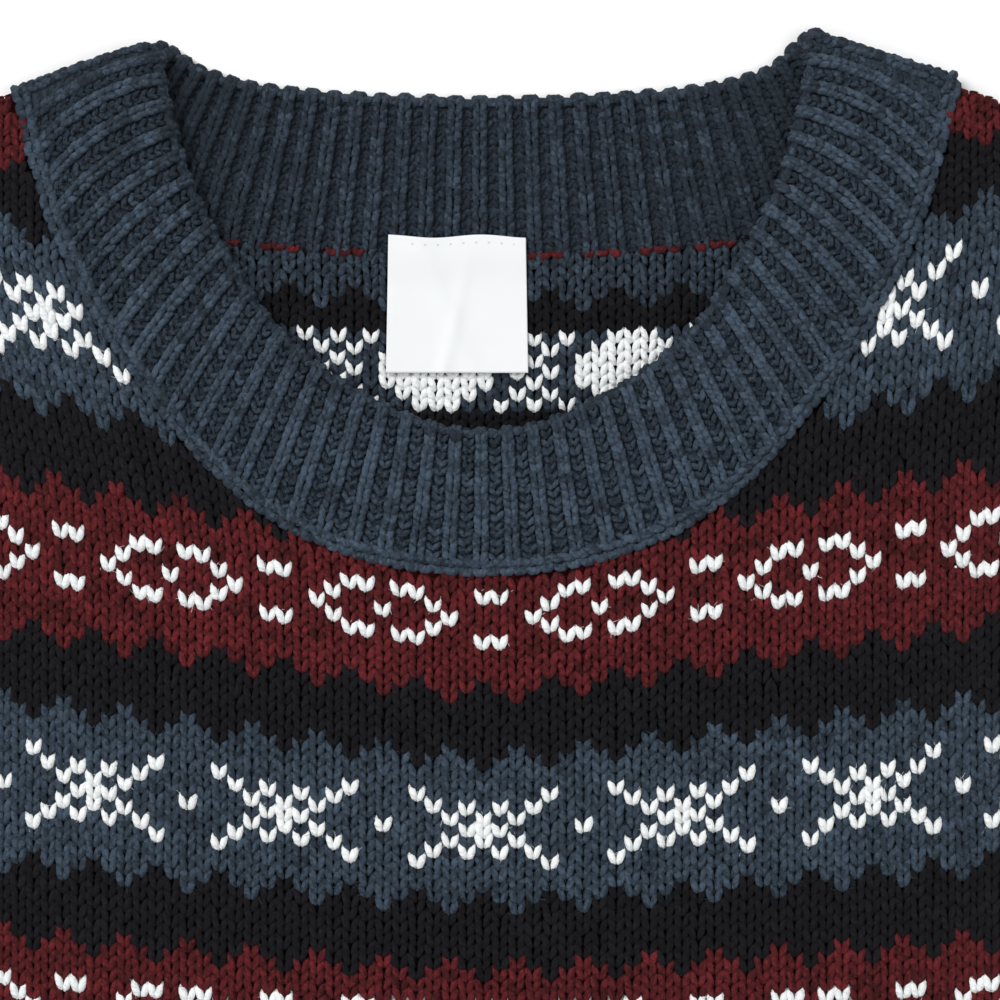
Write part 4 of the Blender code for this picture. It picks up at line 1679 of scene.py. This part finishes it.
@dataclass
class Neckband:
    """The ribbed neckband: a ring of cloth with strands of yarn on what shows."""

    cloth_finish: Palette
    strand_finish: Palette

    rib_start: float = -0.13
    rib_pitch: float = 7.17
    back_start: float = -0.2
    back_pitch: float = 6.08
    course: float = 1.8
    levels: int = 17
    hairs: int = 8
    over_fold: float = 0.6  # how far past the folds' outermost lines yarn is laid
    dim_levels: int = 2  # courses at the front's free edge that lie in its shade
    ring_stops: float = 0.965
    fold_drawn_in: float = 0.02
    fold_sinks: float = 0.5
    under_fold: float = 0.07  # how far under the band the ring's fold keeps its shape
    left_shade: float = 0.6  # share of the stitches a tone darker on the side away from the light
    seam_pitch: float = 2.95
    seam_past_fold: float = 1.6  # how far the seam's loops reach past the left fold
    middle_painted_light: float = 0.8  # share of the middle's purl stitches a tone lighter, as painted light
    fold_shade: float = 0.94  # part of the way to the folds from which the yarn is a tone darker
    purl_lower: float = 0.9  # millimetres that purl bumps lie below their course
    back_shade: tuple = (1.9, 0.75)  # how the back's shade grows sideways, and where it starts
    back_dims: float = 2.6  # tones for a full shade
    rounds_from: float = 0.93  # part of the way from the seam at which the ring thins out
    rounds_by: float = 0.55
    yarn_depth: float = 0.45  # how much thinner each face of the ring is than the CAD wall
    dash_runs: tuple = ((-58.0, 2), (-48.0, 3), (-33.5, 3), (10.0, 3), (22.6, 3), (35.2, 3), (47.4, 3))
    dash_pitch: float = 3.0
    dash_row: float = 35.6

    def ring(self) -> bpy.types.Object:
        """The closed ring under the strands, on the CAD band's middle line.

        Returns:
            The piece.
        """
        ribs = np.arange(-FOLD_ENDS, RIBS_ROUND - FOLD_ENDS, 0.25)
        across = np.linspace(0.0, 1.0, 13) ** 1.4
        walls = [self.wall(ribs, across, outward) for outward in (1.0, -1.0)]
        rows, columns = len(across), len(ribs)
        points = np.concatenate([w.reshape(-1, 3) for w in walls])
        points[:, 2] = np.maximum(points[:, 2], LOWEST)
        number = np.arange(rows * columns).reshape(rows, columns)
        following = np.roll(number, -1, axis=1)
        outer = np.stack((number[:-1], following[:-1], following[1:], number[1:]), axis=-1)
        inner = outer[..., ::-1] + rows * columns
        ends = []
        for row, way in ((0, 1), (rows - 1, -1)):
            a, b = number[row], following[row]
            quad = np.stack((b, a, a + rows * columns, b + rows * columns), axis=-1)
            ends.append(quad[:, ::way])
        quads = np.concatenate((outer.reshape(-1, 4), inner.reshape(-1, 4), *ends))
        # The ring takes the darkest slate tone, painted shade where it shows between the strands
        slots = np.full(len(quads), Yarn.SLATE * TONES)
        uv = np.tile(np.stack(np.meshgrid(ribs, across * 14), axis=-1).reshape(-1, 2), (2, 1))
        return Patch(points, quads, slots, uv[quads]).mesh("neck_ring",
                                                           self.cloth_finish.materials)

    def wall(self, ribs: np.ndarray, across: np.ndarray, outward: float) -> np.ndarray:
        """One face of the ring.

        Args:
            ribs: rib numbers all round.
            across: parts of the way from the seam to the free edge.
            outward: 1 for the outer face and -1 for the inner one.
        Returns:
            Points, with x, y and z last.
        """
        seam, free = ring_edge(ribs, "seam"), ring_edge(ribs, "free")
        ahead = ring_edge(ribs + 0.02, "seam") - ring_edge(ribs - 0.02, "seam")
        signed = (ribs + RIBS_ROUND / 2) % RIBS_ROUND - RIBS_ROUND / 2
        past = abs(signed) / BandFrontCloth.OUTERMOST - 1.0
        reach = np.where(past > 0, self.under_fold, BandFrontCloth.FOLD_NEAR)
        fold = smoothstep(1.0 - abs(past) / reach)
        stop = self.ring_stops - self.fold_drawn_in * fold
        part = across[:, None] * stop
        middle = seam + (free - seam) * part[..., None]
        side = np.broadcast_to(np.sign(signed), part.shape)
        middle = middle + BandFrontCloth.fold_shape(side, part) * fold[:, None]
        behind = smoothstep(abs(signed) - BandFrontCloth.OUTERMOST)
        middle[..., 1] += back_rise(np.broadcast_to(free[:, 0], part.shape), part) * behind
        outer = np.cross(np.broadcast_to(ahead, middle.shape), free - seam)
        outer /= np.linalg.norm(outer, axis=-1, keepdims=True)
        last = np.clip((across - self.rounds_from) / 0.07, 0.0, 1.0)[:, None, None]
        offset = outward * (BAND_WALL / 2 - self.yarn_depth) * (1.0 - self.rounds_by * last)
        return middle + outer * (offset - self.fold_sinks * fold[..., None])

    def front_strands(self) -> bpy.types.Object:
        """Knit columns, purl bumps and the linked seam of the front half.

        Returns:
            The piece.
        """
        cloth = BandFrontCloth()
        knit = StrandKnit(cloth, np.random.default_rng(SEED + 5), jitter=0.1)
        most = int(cloth.half / self.rib_pitch) + 1
        ribs = np.arange(-most, most + 1) + self.rib_start
        rib, level = (a.reshape(-1) for a in np.meshgrid(ribs, np.arange(self.levels)))
        u = rib * self.rib_pitch
        v = 0.2 + level * self.course
        slate = np.full(len(u), Yarn.SLATE)
        spread = cloth.pitch(v)
        away = smoothstep(-u / cloth.half * 2.0 - 0.6) * self.left_shade
        shaded = (level < self.dim_levels).astype(int) + (knit.random.random(len(u)) < away)
        shaded += abs(u) > cloth.half * self.fold_shade
        on = abs(u) < cloth.half + self.over_fold
        # Half the knit columns a tone lighter, painted light on the raised columns
        lighter = knit.random.integers(0, 2, len(u))
        knit.stitches(u[on], v[on], slate[on], RIB_LEG, 0.5, 0.3 + 0.7 * spread[on],
                      (shaded - lighter)[on])
        between = u + self.rib_pitch / 2
        on = abs(between) < cloth.half + self.over_fold
        # Purl stitches one tone darker, painted shade in the troughs, and a tone lighter in the middle
        # as painted light
        middle = smoothstep(1.0 - abs(u) / cloth.half * 1.5) * self.middle_painted_light
        darker = 1 + shaded - (knit.random.random(len(u)) < middle)
        purl = StrandKnit(cloth, knit.random, jitter=0.2, parts=knit.parts)
        purl.stitches(between[on], v[on] + self.purl_lower, slate[on], PURL_LEG, -0.1,
                      spread[on], darker[on])
        self.lay_edge(knit, np.arange(-cloth.half, cloth.half, 3.6))
        fuzzy = (abs(between) < cloth.half * self.fold_shade) & (level >= self.dim_levels)
        knit.hairs(u[fuzzy], v[fuzzy], slate[fuzzy], self.hairs)
        knit.hairs(between[fuzzy], v[fuzzy], slate[fuzzy], self.hairs)
        self.lay_seam(knit, cloth)
        return knit.mesh("neck_front_yarn", self.strand_finish)

    def lay_edge(self, knit: StrandKnit, u: np.ndarray) -> None:
        """The cast-off row, low behind the ends of the columns and a tone darker as painted shade.

        Args:
            knit: where the strands go.
            u: their middles along the edge.
        """
        slate = np.full(len(u), Yarn.SLATE)
        for row, raised in ((-0.5, -0.1), (0.7, -0.2)):
            knit.lay(u, np.full(len(u), row), slate, PURL_BUMP.scaled(1.1, -0.5, 1.1),
                     tones(len(u), knit.random) - 1, raised)

    def lay_seam(self, knit: StrandKnit, cloth: BandFrontCloth) -> None:
        """The two rows of linked loops along the seam.

        Args:
            knit: where the strands go.
            cloth: the band's front half.
        """
        u = np.arange(-cloth.half - self.seam_past_fold, cloth.half, self.seam_pitch)
        slate = np.full(len(u), Yarn.SLATE)
        for leg, row, moved in ((LINK, 1.85, 0.0), (HANGING_LOOP, 0.35, 1.4)):
            v = np.full(len(u), BAND_HEIGHT - row)
            thick = leg.scaled(1.0, 1.0, 1.12)
            knit.lay(u + moved, v, slate, thick, tones(len(u), knit.random), 0.6)

    def back_strands(self) -> bpy.types.Object:
        """Knit columns and purl bumps of the back half's inner side, with painted shade where the
        front arches over them.

        Returns:
            The piece.
        """
        cloth = BandBackCloth()
        knit = StrandKnit(cloth, np.random.default_rng(SEED + 6), jitter=0.12)
        ribs = np.arange(-16, 18) + self.back_start
        rib, level = (a.reshape(-1) for a in np.meshgrid(ribs, np.arange(self.levels + 1)))
        u = rib * self.back_pitch
        v = 0.3 + level * self.course
        slate = np.full(len(u), Yarn.SLATE)
        growth, start = self.back_shade
        shade = abs(u) / BandBackCloth.HALF * growth - start + knit.random.random(len(u)) * 0.5
        dimmer = np.clip(np.floor(shade * self.back_dims) + 1, 1, 3).astype(int)
        knit.stitches(u, v, slate, RIB_LEG, 0.3, 0.95, dimmer)
        # Purl bumps one to two tones darker than the columns, painted shade in the troughs
        purl = StrandKnit(cloth, knit.random, jitter=0.2, parts=knit.parts)
        purl.stitches(u + self.back_pitch / 2, v + self.purl_lower, slate,
                      PURL_LEG.scaled(0.75, -0.9, 1.0), -0.65, 0.95,
                      dimmer + 1 + knit.random.integers(0, 2, len(u)))
        self.lay_edge(knit, (np.arange(-33, 34) + 2 * self.back_start) * self.back_pitch / 2)
        # Caps on the columns at the free edge, a tone darker as painted shade
        columns = ribs * self.back_pitch
        for row in (0.15, 0.85):
            knit.lay(columns, np.full(len(ribs), row), np.full(len(ribs), Yarn.SLATE),
                     PURL_BUMP.scaled(1.15, 1.2, 1.0), tones(len(ribs), knit.random) - 1, 0.3)
        fuzzy = level >= self.dim_levels
        knit.hairs(u[fuzzy], v[fuzzy], slate[fuzzy], self.hairs)
        return knit.mesh("neck_back_yarn", self.strand_finish)

    def dashes(self) -> bpy.types.Object:
        """The burgundy linking yarn that shows in short runs under the back seam.

        Returns:
            The piece.
        """
        knit = StrandKnit(BackInsideCloth(), np.random.default_rng(SEED + 7))
        runs = [start + np.arange(count) * self.dash_pitch for start, count in self.dash_runs]
        u = np.concatenate(runs)
        knit.lay(u, np.full(len(u), self.dash_row), np.full(len(u), Yarn.BURGUNDY), LINKING_DASH,
                 tones(len(u), knit.random) - 1, 0.1)
        return knit.mesh("neck_linking", self.strand_finish)

    def build(self) -> bpy.types.Object:
        """Make the band's pieces.

        Returns:
            The ring.
        """
        ring = dress(self.ring(), "neck_rib", "neck_rib")
        strands = [
            dress(piece, "neck_rib")
            for piece in (self.front_strands(), self.back_strands(), self.dashes())
        ]
        return ring


@dataclass
class Sleeve:
    """One sleeve, a flattened tube with the body's bands."""

    name: str
    side: int
    cloth_finish: Palette

    def build(self) -> bpy.types.Object:
        """Make the sleeve.

        Returns:
            The piece.
        """
        faces = Patch.joined([self.top(), self.under()])
        piece = faces.mesh(f"{self.name}_knit", self.cloth_finish.materials)
        dress(piece, self.name, self.name)
        length = SleeveCloth(self.side).length * MM
        return piece

    def top(self) -> Patch:
        """The upper face, whose half stitches end at the folded edges.

        Returns:
            The faces.
        """
        cloth = SleeveCloth(self.side, True)
        courses = range(0, int(cloth.length / COURSE))
        knit = SheetKnit(cloth, SLEEVE_CHART, range(-30, 31), courses, COURSE / 2, 0.3, SEED + 9)
        return knit.patch()

    def under(self) -> Patch:
        """The under face, with bands only.

        Returns:
            The faces.
        """
        cloth = SleeveCloth(self.side, False)
        v = np.linspace(0.0, cloth.length, int(cloth.length / COURSE) + 1)
        parts = np.sin(np.linspace(-1.0, 1.0, 13) * math.pi / 2)
        vv, part = np.meshgrid(v, parts, indexing="ij")
        u = part * cloth.half_width(vv)
        points = cloth.point(u, vv)
        rows, columns = u.shape
        quads = grid_quads(rows, columns)[:, FACING_DOWN]
        course = np.repeat(np.arange(rows - 1), columns - 1)
        yarn = SLEEVE_CHART.yarn(np.ones(len(course), int), course)
        slots = np.where(yarn == Yarn.WHITE, Yarn.SLATE, yarn) * TONES + MIDDLE_TONE
        uv = np.stack((u / WALE, vv / COURSE), axis=-1).reshape(-1, 2)
        return Patch(points.reshape(-1, 3), quads, slots, uv[quads])


@dataclass
class Ribs:
    """The hem and cuff ribs: grids of knit columns and troughs, with plain undersides."""

    cloth_finish: Palette

    hem_half_width: float = 227.0
    hem_top: float = -600.0
    hem_bottom: float = -660.0
    hem_ribs: int = 65
    hem_wall: float = 1.9
    cuff_half_width: float = 44.0
    cuff_narrows: float = 0.95
    cuff_length: float = 60.0
    cuff_thick: float = 5.6
    cuff_ribs: int = 13
    profile: tuple = (0.0, 0.55, 1.0, 0.8, 1.0, 0.55)
    courses: int = 27
    trough_painted_shade: int = 2  # tones of painted shade in the troughs between ribs
    end_rounds: float = 5.0  # millimetres over which the hem's ends thin out
    end_thickness: float = 0.35  # share of the thickness at its very ends
    cuff_roll: float = 0.06  # part of the folded width over which each edge rolls under

    def patch(self, ribs: int, spot: Callable) -> Patch:
        """Make one closed band.

        Args:
            ribs: knit columns across.
            spot: function of parts across, parts down, whether it is the upper face, and
                heights of the ribs, to points.
        Returns:
            The faces.
        """
        phases = len(self.profile)
        parts = np.arange(ribs * phases + 1) / (ribs * phases)
        part, down = np.meshgrid(parts, np.linspace(0.0, 1.0, self.courses + 1))
        crest = np.array(self.profile)[np.arange(len(parts)) % phases]
        points = np.concatenate(
            [spot(part, down, over, crest).reshape(-1, 3) for over in (True, False)]
        )
        rows, columns = part.shape
        top = grid_quads(rows, columns)
        half = rows * columns
        number = np.arange(half).reshape(rows, columns)
        first, last = number[0], number[-1]
        low = np.stack((first[:-1], first[1:], last[1:], last[:-1]), axis=-1) + half
        ends = [
            np.stack((a, b, b + half, a + half), axis=-1)
            for a, b in ((first[1:], first[:-1]), (last[:-1], last[1:]))
        ]
        quads = np.concatenate((top, low, *ends))
        tone = tones(len(quads), np.random.default_rng(SEED))
        phase = np.tile(np.arange(columns - 1) % phases, rows - 1)
        trough = (phase == 0) | (phase == phases - 1)
        # Troughs take painted shade
        tone[: len(top)] = np.maximum(tone[: len(top)] - self.trough_painted_shade * trough, 0)
        uv = np.stack((part * ribs * 2, down * self.courses), axis=-1).reshape(-1, 2)
        uv = np.tile(uv, (2, 1))
        return Patch(points, quads, Yarn.SLATE * TONES + tone, uv[quads])

    def hem(self, name: str, lower: float, upper: float, raised: float) -> bpy.types.Object:
        """One layer of the hem.

        Args:
            name: its CAD node.
            lower: height of its underside.
            upper: height of its troughs.
            raised: height of its ribs above them.
        Returns:
            The piece.
        """

        def spot(part: np.ndarray, down: np.ndarray, over: bool, crest: np.ndarray) -> np.ndarray:
            """Points of the hem's upper or under face.

            Args:
                part: parts of the way across.
                down: parts of the way down.
                over: whether it is the upper face.
                crest: heights of the ribs, 0 to 1.
            Returns:
                Points, with x, y and z last.
            """
            x = (2 * part - 1) * self.hem_half_width
            y = self.hem_top - SEAM_GAP + (self.hem_bottom - self.hem_top + SEAM_GAP) * down
            from_end = np.minimum(part, 1 - part) * 2 * self.hem_half_width
            full = smoothstep(from_end / self.end_rounds)
            share = self.end_thickness + (1 - self.end_thickness) * full
            top = lower + (upper - lower + crest * raised) * share
            return np.stack((x, y, top if over else np.full_like(x, lower)), axis=-1)

        return self.patch(self.hem_ribs, spot).mesh(f"{name}_knit", self.cloth_finish.materials)

    def cuff(self, name: str, side: int) -> bpy.types.Object:
        """One cuff, folded flat.

        Args:
            name: its CAD node.
            side: 1 for the sleeve at +X and -1 for the other.
        Returns:
            The piece.
        """
        wrist = SLEEVE[-1]
        angle = math.radians(wrist.lean)

        def spot(part: np.ndarray, down: np.ndarray, over: bool, crest: np.ndarray) -> np.ndarray:
            """Points of the cuff's upper or under face.

            Args:
                part: parts of the way across.
                down: parts of the way down.
                over: whether it is the upper face.
                crest: heights of the ribs, 0 to 1.
            Returns:
                Points, with x, y and z last.
            """
            half = self.cuff_half_width * (1 + (self.cuff_narrows - 1) * down)
            u = (1 - 2 * part) * half
            moved = 2 * SEAM_GAP + self.cuff_length * down
            x = wrist.middle_x + math.cos(angle) * moved + math.sin(angle) * u
            y = wrist.middle_y - math.sin(angle) * moved + math.cos(angle) * u
            edge = np.clip(np.minimum(part, 1 - part) / self.cuff_roll, 0.0, 1.0)
            rise = np.sqrt(1 - (1 - edge) ** 2)
            top = self.cuff_thick / 2 * (1 + rise) + crest * rise**3
            low = self.cuff_thick / 2 * (1 - rise)
            return np.stack((x * side, y, top if over else low), axis=-1)

        patch = self.patch(self.cuff_ribs, spot)
        if side < 0:
            patch = Patch(patch.points, patch.quads[:, ::-1], patch.slots, patch.uv[:, ::-1])
        return patch.mesh(f"{name}_knit", self.cloth_finish.materials)

    def build(self) -> None:
        """Make the four ribs."""
        front = self.hem("hem_rib_front", FRONT_UNDERSIDE, FRONT_UNDERSIDE + self.hem_wall, 1.0)
        back = self.hem("hem_rib_back", 0.0, BACK_WALL, 0.0)
        for piece, name, under in (
            (front, "hem_rib_front", "hem_rib_back_knit"),
            (back, "hem_rib_back", "floor"),
        ):
            dress(piece, name, name)
        for name, side in (("cuff_left", 1), ("cuff_right", -1)):
            piece = dress(self.cuff(name, side), name, name)


Crease = namedtuple("Crease", "height across down moved width fades")


@dataclass
class Label:
    """The bare woven label inside the back neck."""

    middle: float = -6.1
    top: float = -31.6
    bottom: float = -61.4
    width: tuple = (30.0, 31.0)
    raised: float = 4.2
    low: float = 3.6
    settles: float = 9.0
    columns: int = 109
    rows: int = 64
    sewn: float = 0.06  # how far down the line of stitches runs, in parts
    every: int = 10  # columns from stitch to stitch
    sewn_from: int = 18  # column of the first stitch
    thickness: float = 0.35
    bowed_top: float = 0.35
    curl: tuple = (0.5, 0.4)  # how far its lower edge and its sides rise
    creases: tuple = (Crease(0.45, 14, 3, -1.6, 0.8, 1), Crease(0.35, 10, -4, 2.9, 0.9, 0))
    satin: tuple = (0.74, 0.755, 0.77)
    stitch_hole_shade: tuple = (0.58, 0.59, 0.62)

    def height(self, part: np.ndarray, down: np.ndarray) -> np.ndarray:
        """Height of the label's upper face.

        Args:
            part: places across, from -0.5 to 0.5 of its width.
            down: parts of the way down.
        Returns:
            Heights in millimetres.
        """
        y = (self.bottom - self.top) * down
        settle = smoothstep((-y - self.settles / 3) / self.settles)
        base = self.raised + (self.low - self.raised) * settle
        curl = self.curl[0] * down**3 + self.curl[1] * (2 * part) ** 2 * down
        creases = 0.0
        for crease in self.creases:
            away = (part * crease.across + down * crease.down + crease.moved) / crease.width
            creases = creases + crease.height * np.exp(-(away**2)) * down**crease.fades
        return base + curl + creases

    def build(self) -> bpy.types.Object:
        """Make the label and its stitches.

        Returns:
            The piece.
        """
        parts = np.linspace(-0.5, 0.5, self.columns)
        downs = np.linspace(0.0, 1.0, self.rows)
        part, down = np.meshgrid(parts, downs)
        width = self.width[0] + (self.width[1] - self.width[0]) * down
        x = self.middle + part * width
        y = self.top + (self.bottom - self.top) * down
        y = y + self.bowed_top * np.sin(part * 9.0) * (1 - down) ** 3
        points = np.stack((x, y, self.height(part, down)), axis=-1).reshape(-1, 3)
        quads = grid_quads(*part.shape)
        uv = np.stack((part, down), axis=-1).reshape(-1, 2)
        satin = Finish("satin_white", self.satin, Surface.SATIN, 0.5, 0.1, 0.3)
        # The line of stitches is real; its dark dots are painted shade in the stitch holes
        stitch_hole_shade = Finish("label_thread", self.stitch_hole_shade, Surface.SATIN, 0.8, 0.1, 0.1)
        row, column = np.divmod(np.arange(len(quads)), self.columns - 1)
        sewn = ((column - self.sewn_from) % self.every < 2) & (column >= self.sewn_from)
        sewn &= (column < self.columns - self.every) & (row == int(self.sewn * self.rows))
        materials = [satin.build(), stitch_hole_shade.build()]
        piece = Patch(points, quads, sewn.astype(int), uv[quads]).mesh("label_satin", materials)
        thicken = piece.modifiers.new("Thickness", "SOLIDIFY")
        thicken.thickness = self.thickness * MM
        thicken.offset = -1.0
        dress(piece, "label", "label")
        return piece


@dataclass
class Studio:
    """Floor, light and camera."""

    floor_size: float = 9.0
    floor_drop: float = 0.0002
    paper: tuple = (0.93, 0.93, 0.93, 1.0)
    camera_place: tuple = (0.00326, 0.23422, 0.6099)
    lens: float = 100.0
    lights: tuple = (("key", (-1.1, 1.3, 1.7), 1.2, 42.0), ("fill", (1.1, -0.4, 1.9), 1.6, 12.0))
    lit_place: tuple = (0.0, 0.23, 0.0)
    room_colour: tuple = (1.0, 1.0, 1.0, 1.0)
    room_strength: float = 0.5

    def build(self) -> None:
        """Set up the view from straight above in soft light."""
        bpy.ops.mesh.primitive_grid_add(x_subdivisions=2, y_subdivisions=2, size=self.floor_size,
                                        location=(0.0, 0.0, -self.floor_drop))
        floor = bpy.context.active_object
        floor.name = "floor"
        paper = bpy.data.materials.new("floor_paper")
        paper.use_nodes = True
        shader = paper.node_tree.nodes["Principled BSDF"]
        shader.inputs["Base Color"].default_value = self.paper
        shader.inputs["Roughness"].default_value = 0.9
        floor.data.materials.append(paper)
        for light in self.lights:
            self.light(*light)
        world = bpy.data.worlds.new("room")
        world.use_nodes = True
        background = world.node_tree.nodes["Background"]
        background.inputs["Color"].default_value = self.room_colour
        background.inputs["Strength"].default_value = self.room_strength
        bpy.context.scene.world = world
        bpy.context.scene.view_settings.view_transform = "Standard"
        camera = bpy.data.cameras.new("camera")
        camera.lens = self.lens
        camera.sensor_width = 36.0
        holder = bpy.data.objects.new("camera", camera)
        holder.location = self.camera_place
        bpy.context.collection.objects.link(holder)
        bpy.context.scene.camera = holder

    def light(self, name: str, place: tuple, size: float, power: float) -> None:
        """A square soft light turned to the neck.

        Args:
            name: the light's name.
            place: where it hangs, in metres.
            size: side in metres.
            power: watts.
        """
        lamp = bpy.data.lights.new(name, "AREA")
        lamp.size = size
        lamp.energy = power
        holder = bpy.data.objects.new(name, lamp)
        holder.location = place
        aim = Vector(self.lit_place) - Vector(place)
        holder.rotation_euler = aim.to_track_quat("-Z", "Y").to_euler()
        bpy.context.collection.objects.link(holder)


def main() -> None:
    """Build every piece in order and log their triangle counts."""
    logging.basicConfig(level=logging.INFO, format="%(message)s")
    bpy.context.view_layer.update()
    sheet_stitches = Palette(Surface.STITCHES, 0.55)
    strands = Palette(Surface.STRAND, 0.9)
    Studio().build()
    Back(sheet_stitches, strands).build()
    Front(sheet_stitches, strands).build()
    Neckband(sheet_stitches, strands).build()
    for name, side in (("sleeve_left", 1), ("sleeve_right", -1)):
        Sleeve(name, side, sheet_stitches).build()
    Ribs(sheet_stitches).build()
    Label().build()
    total = 0
    for piece in bpy.data.objects:
        if piece.type == "MESH" and not piece.hide_render:
            triangles = sum(len(p.vertices) - 2 for p in piece.data.polygons)
            total += triangles
            log.info("%s: %d triangles", piece.name, triangles)
    log.info("in all: %d triangles", total)


if __name__ == "__main__":
    main()
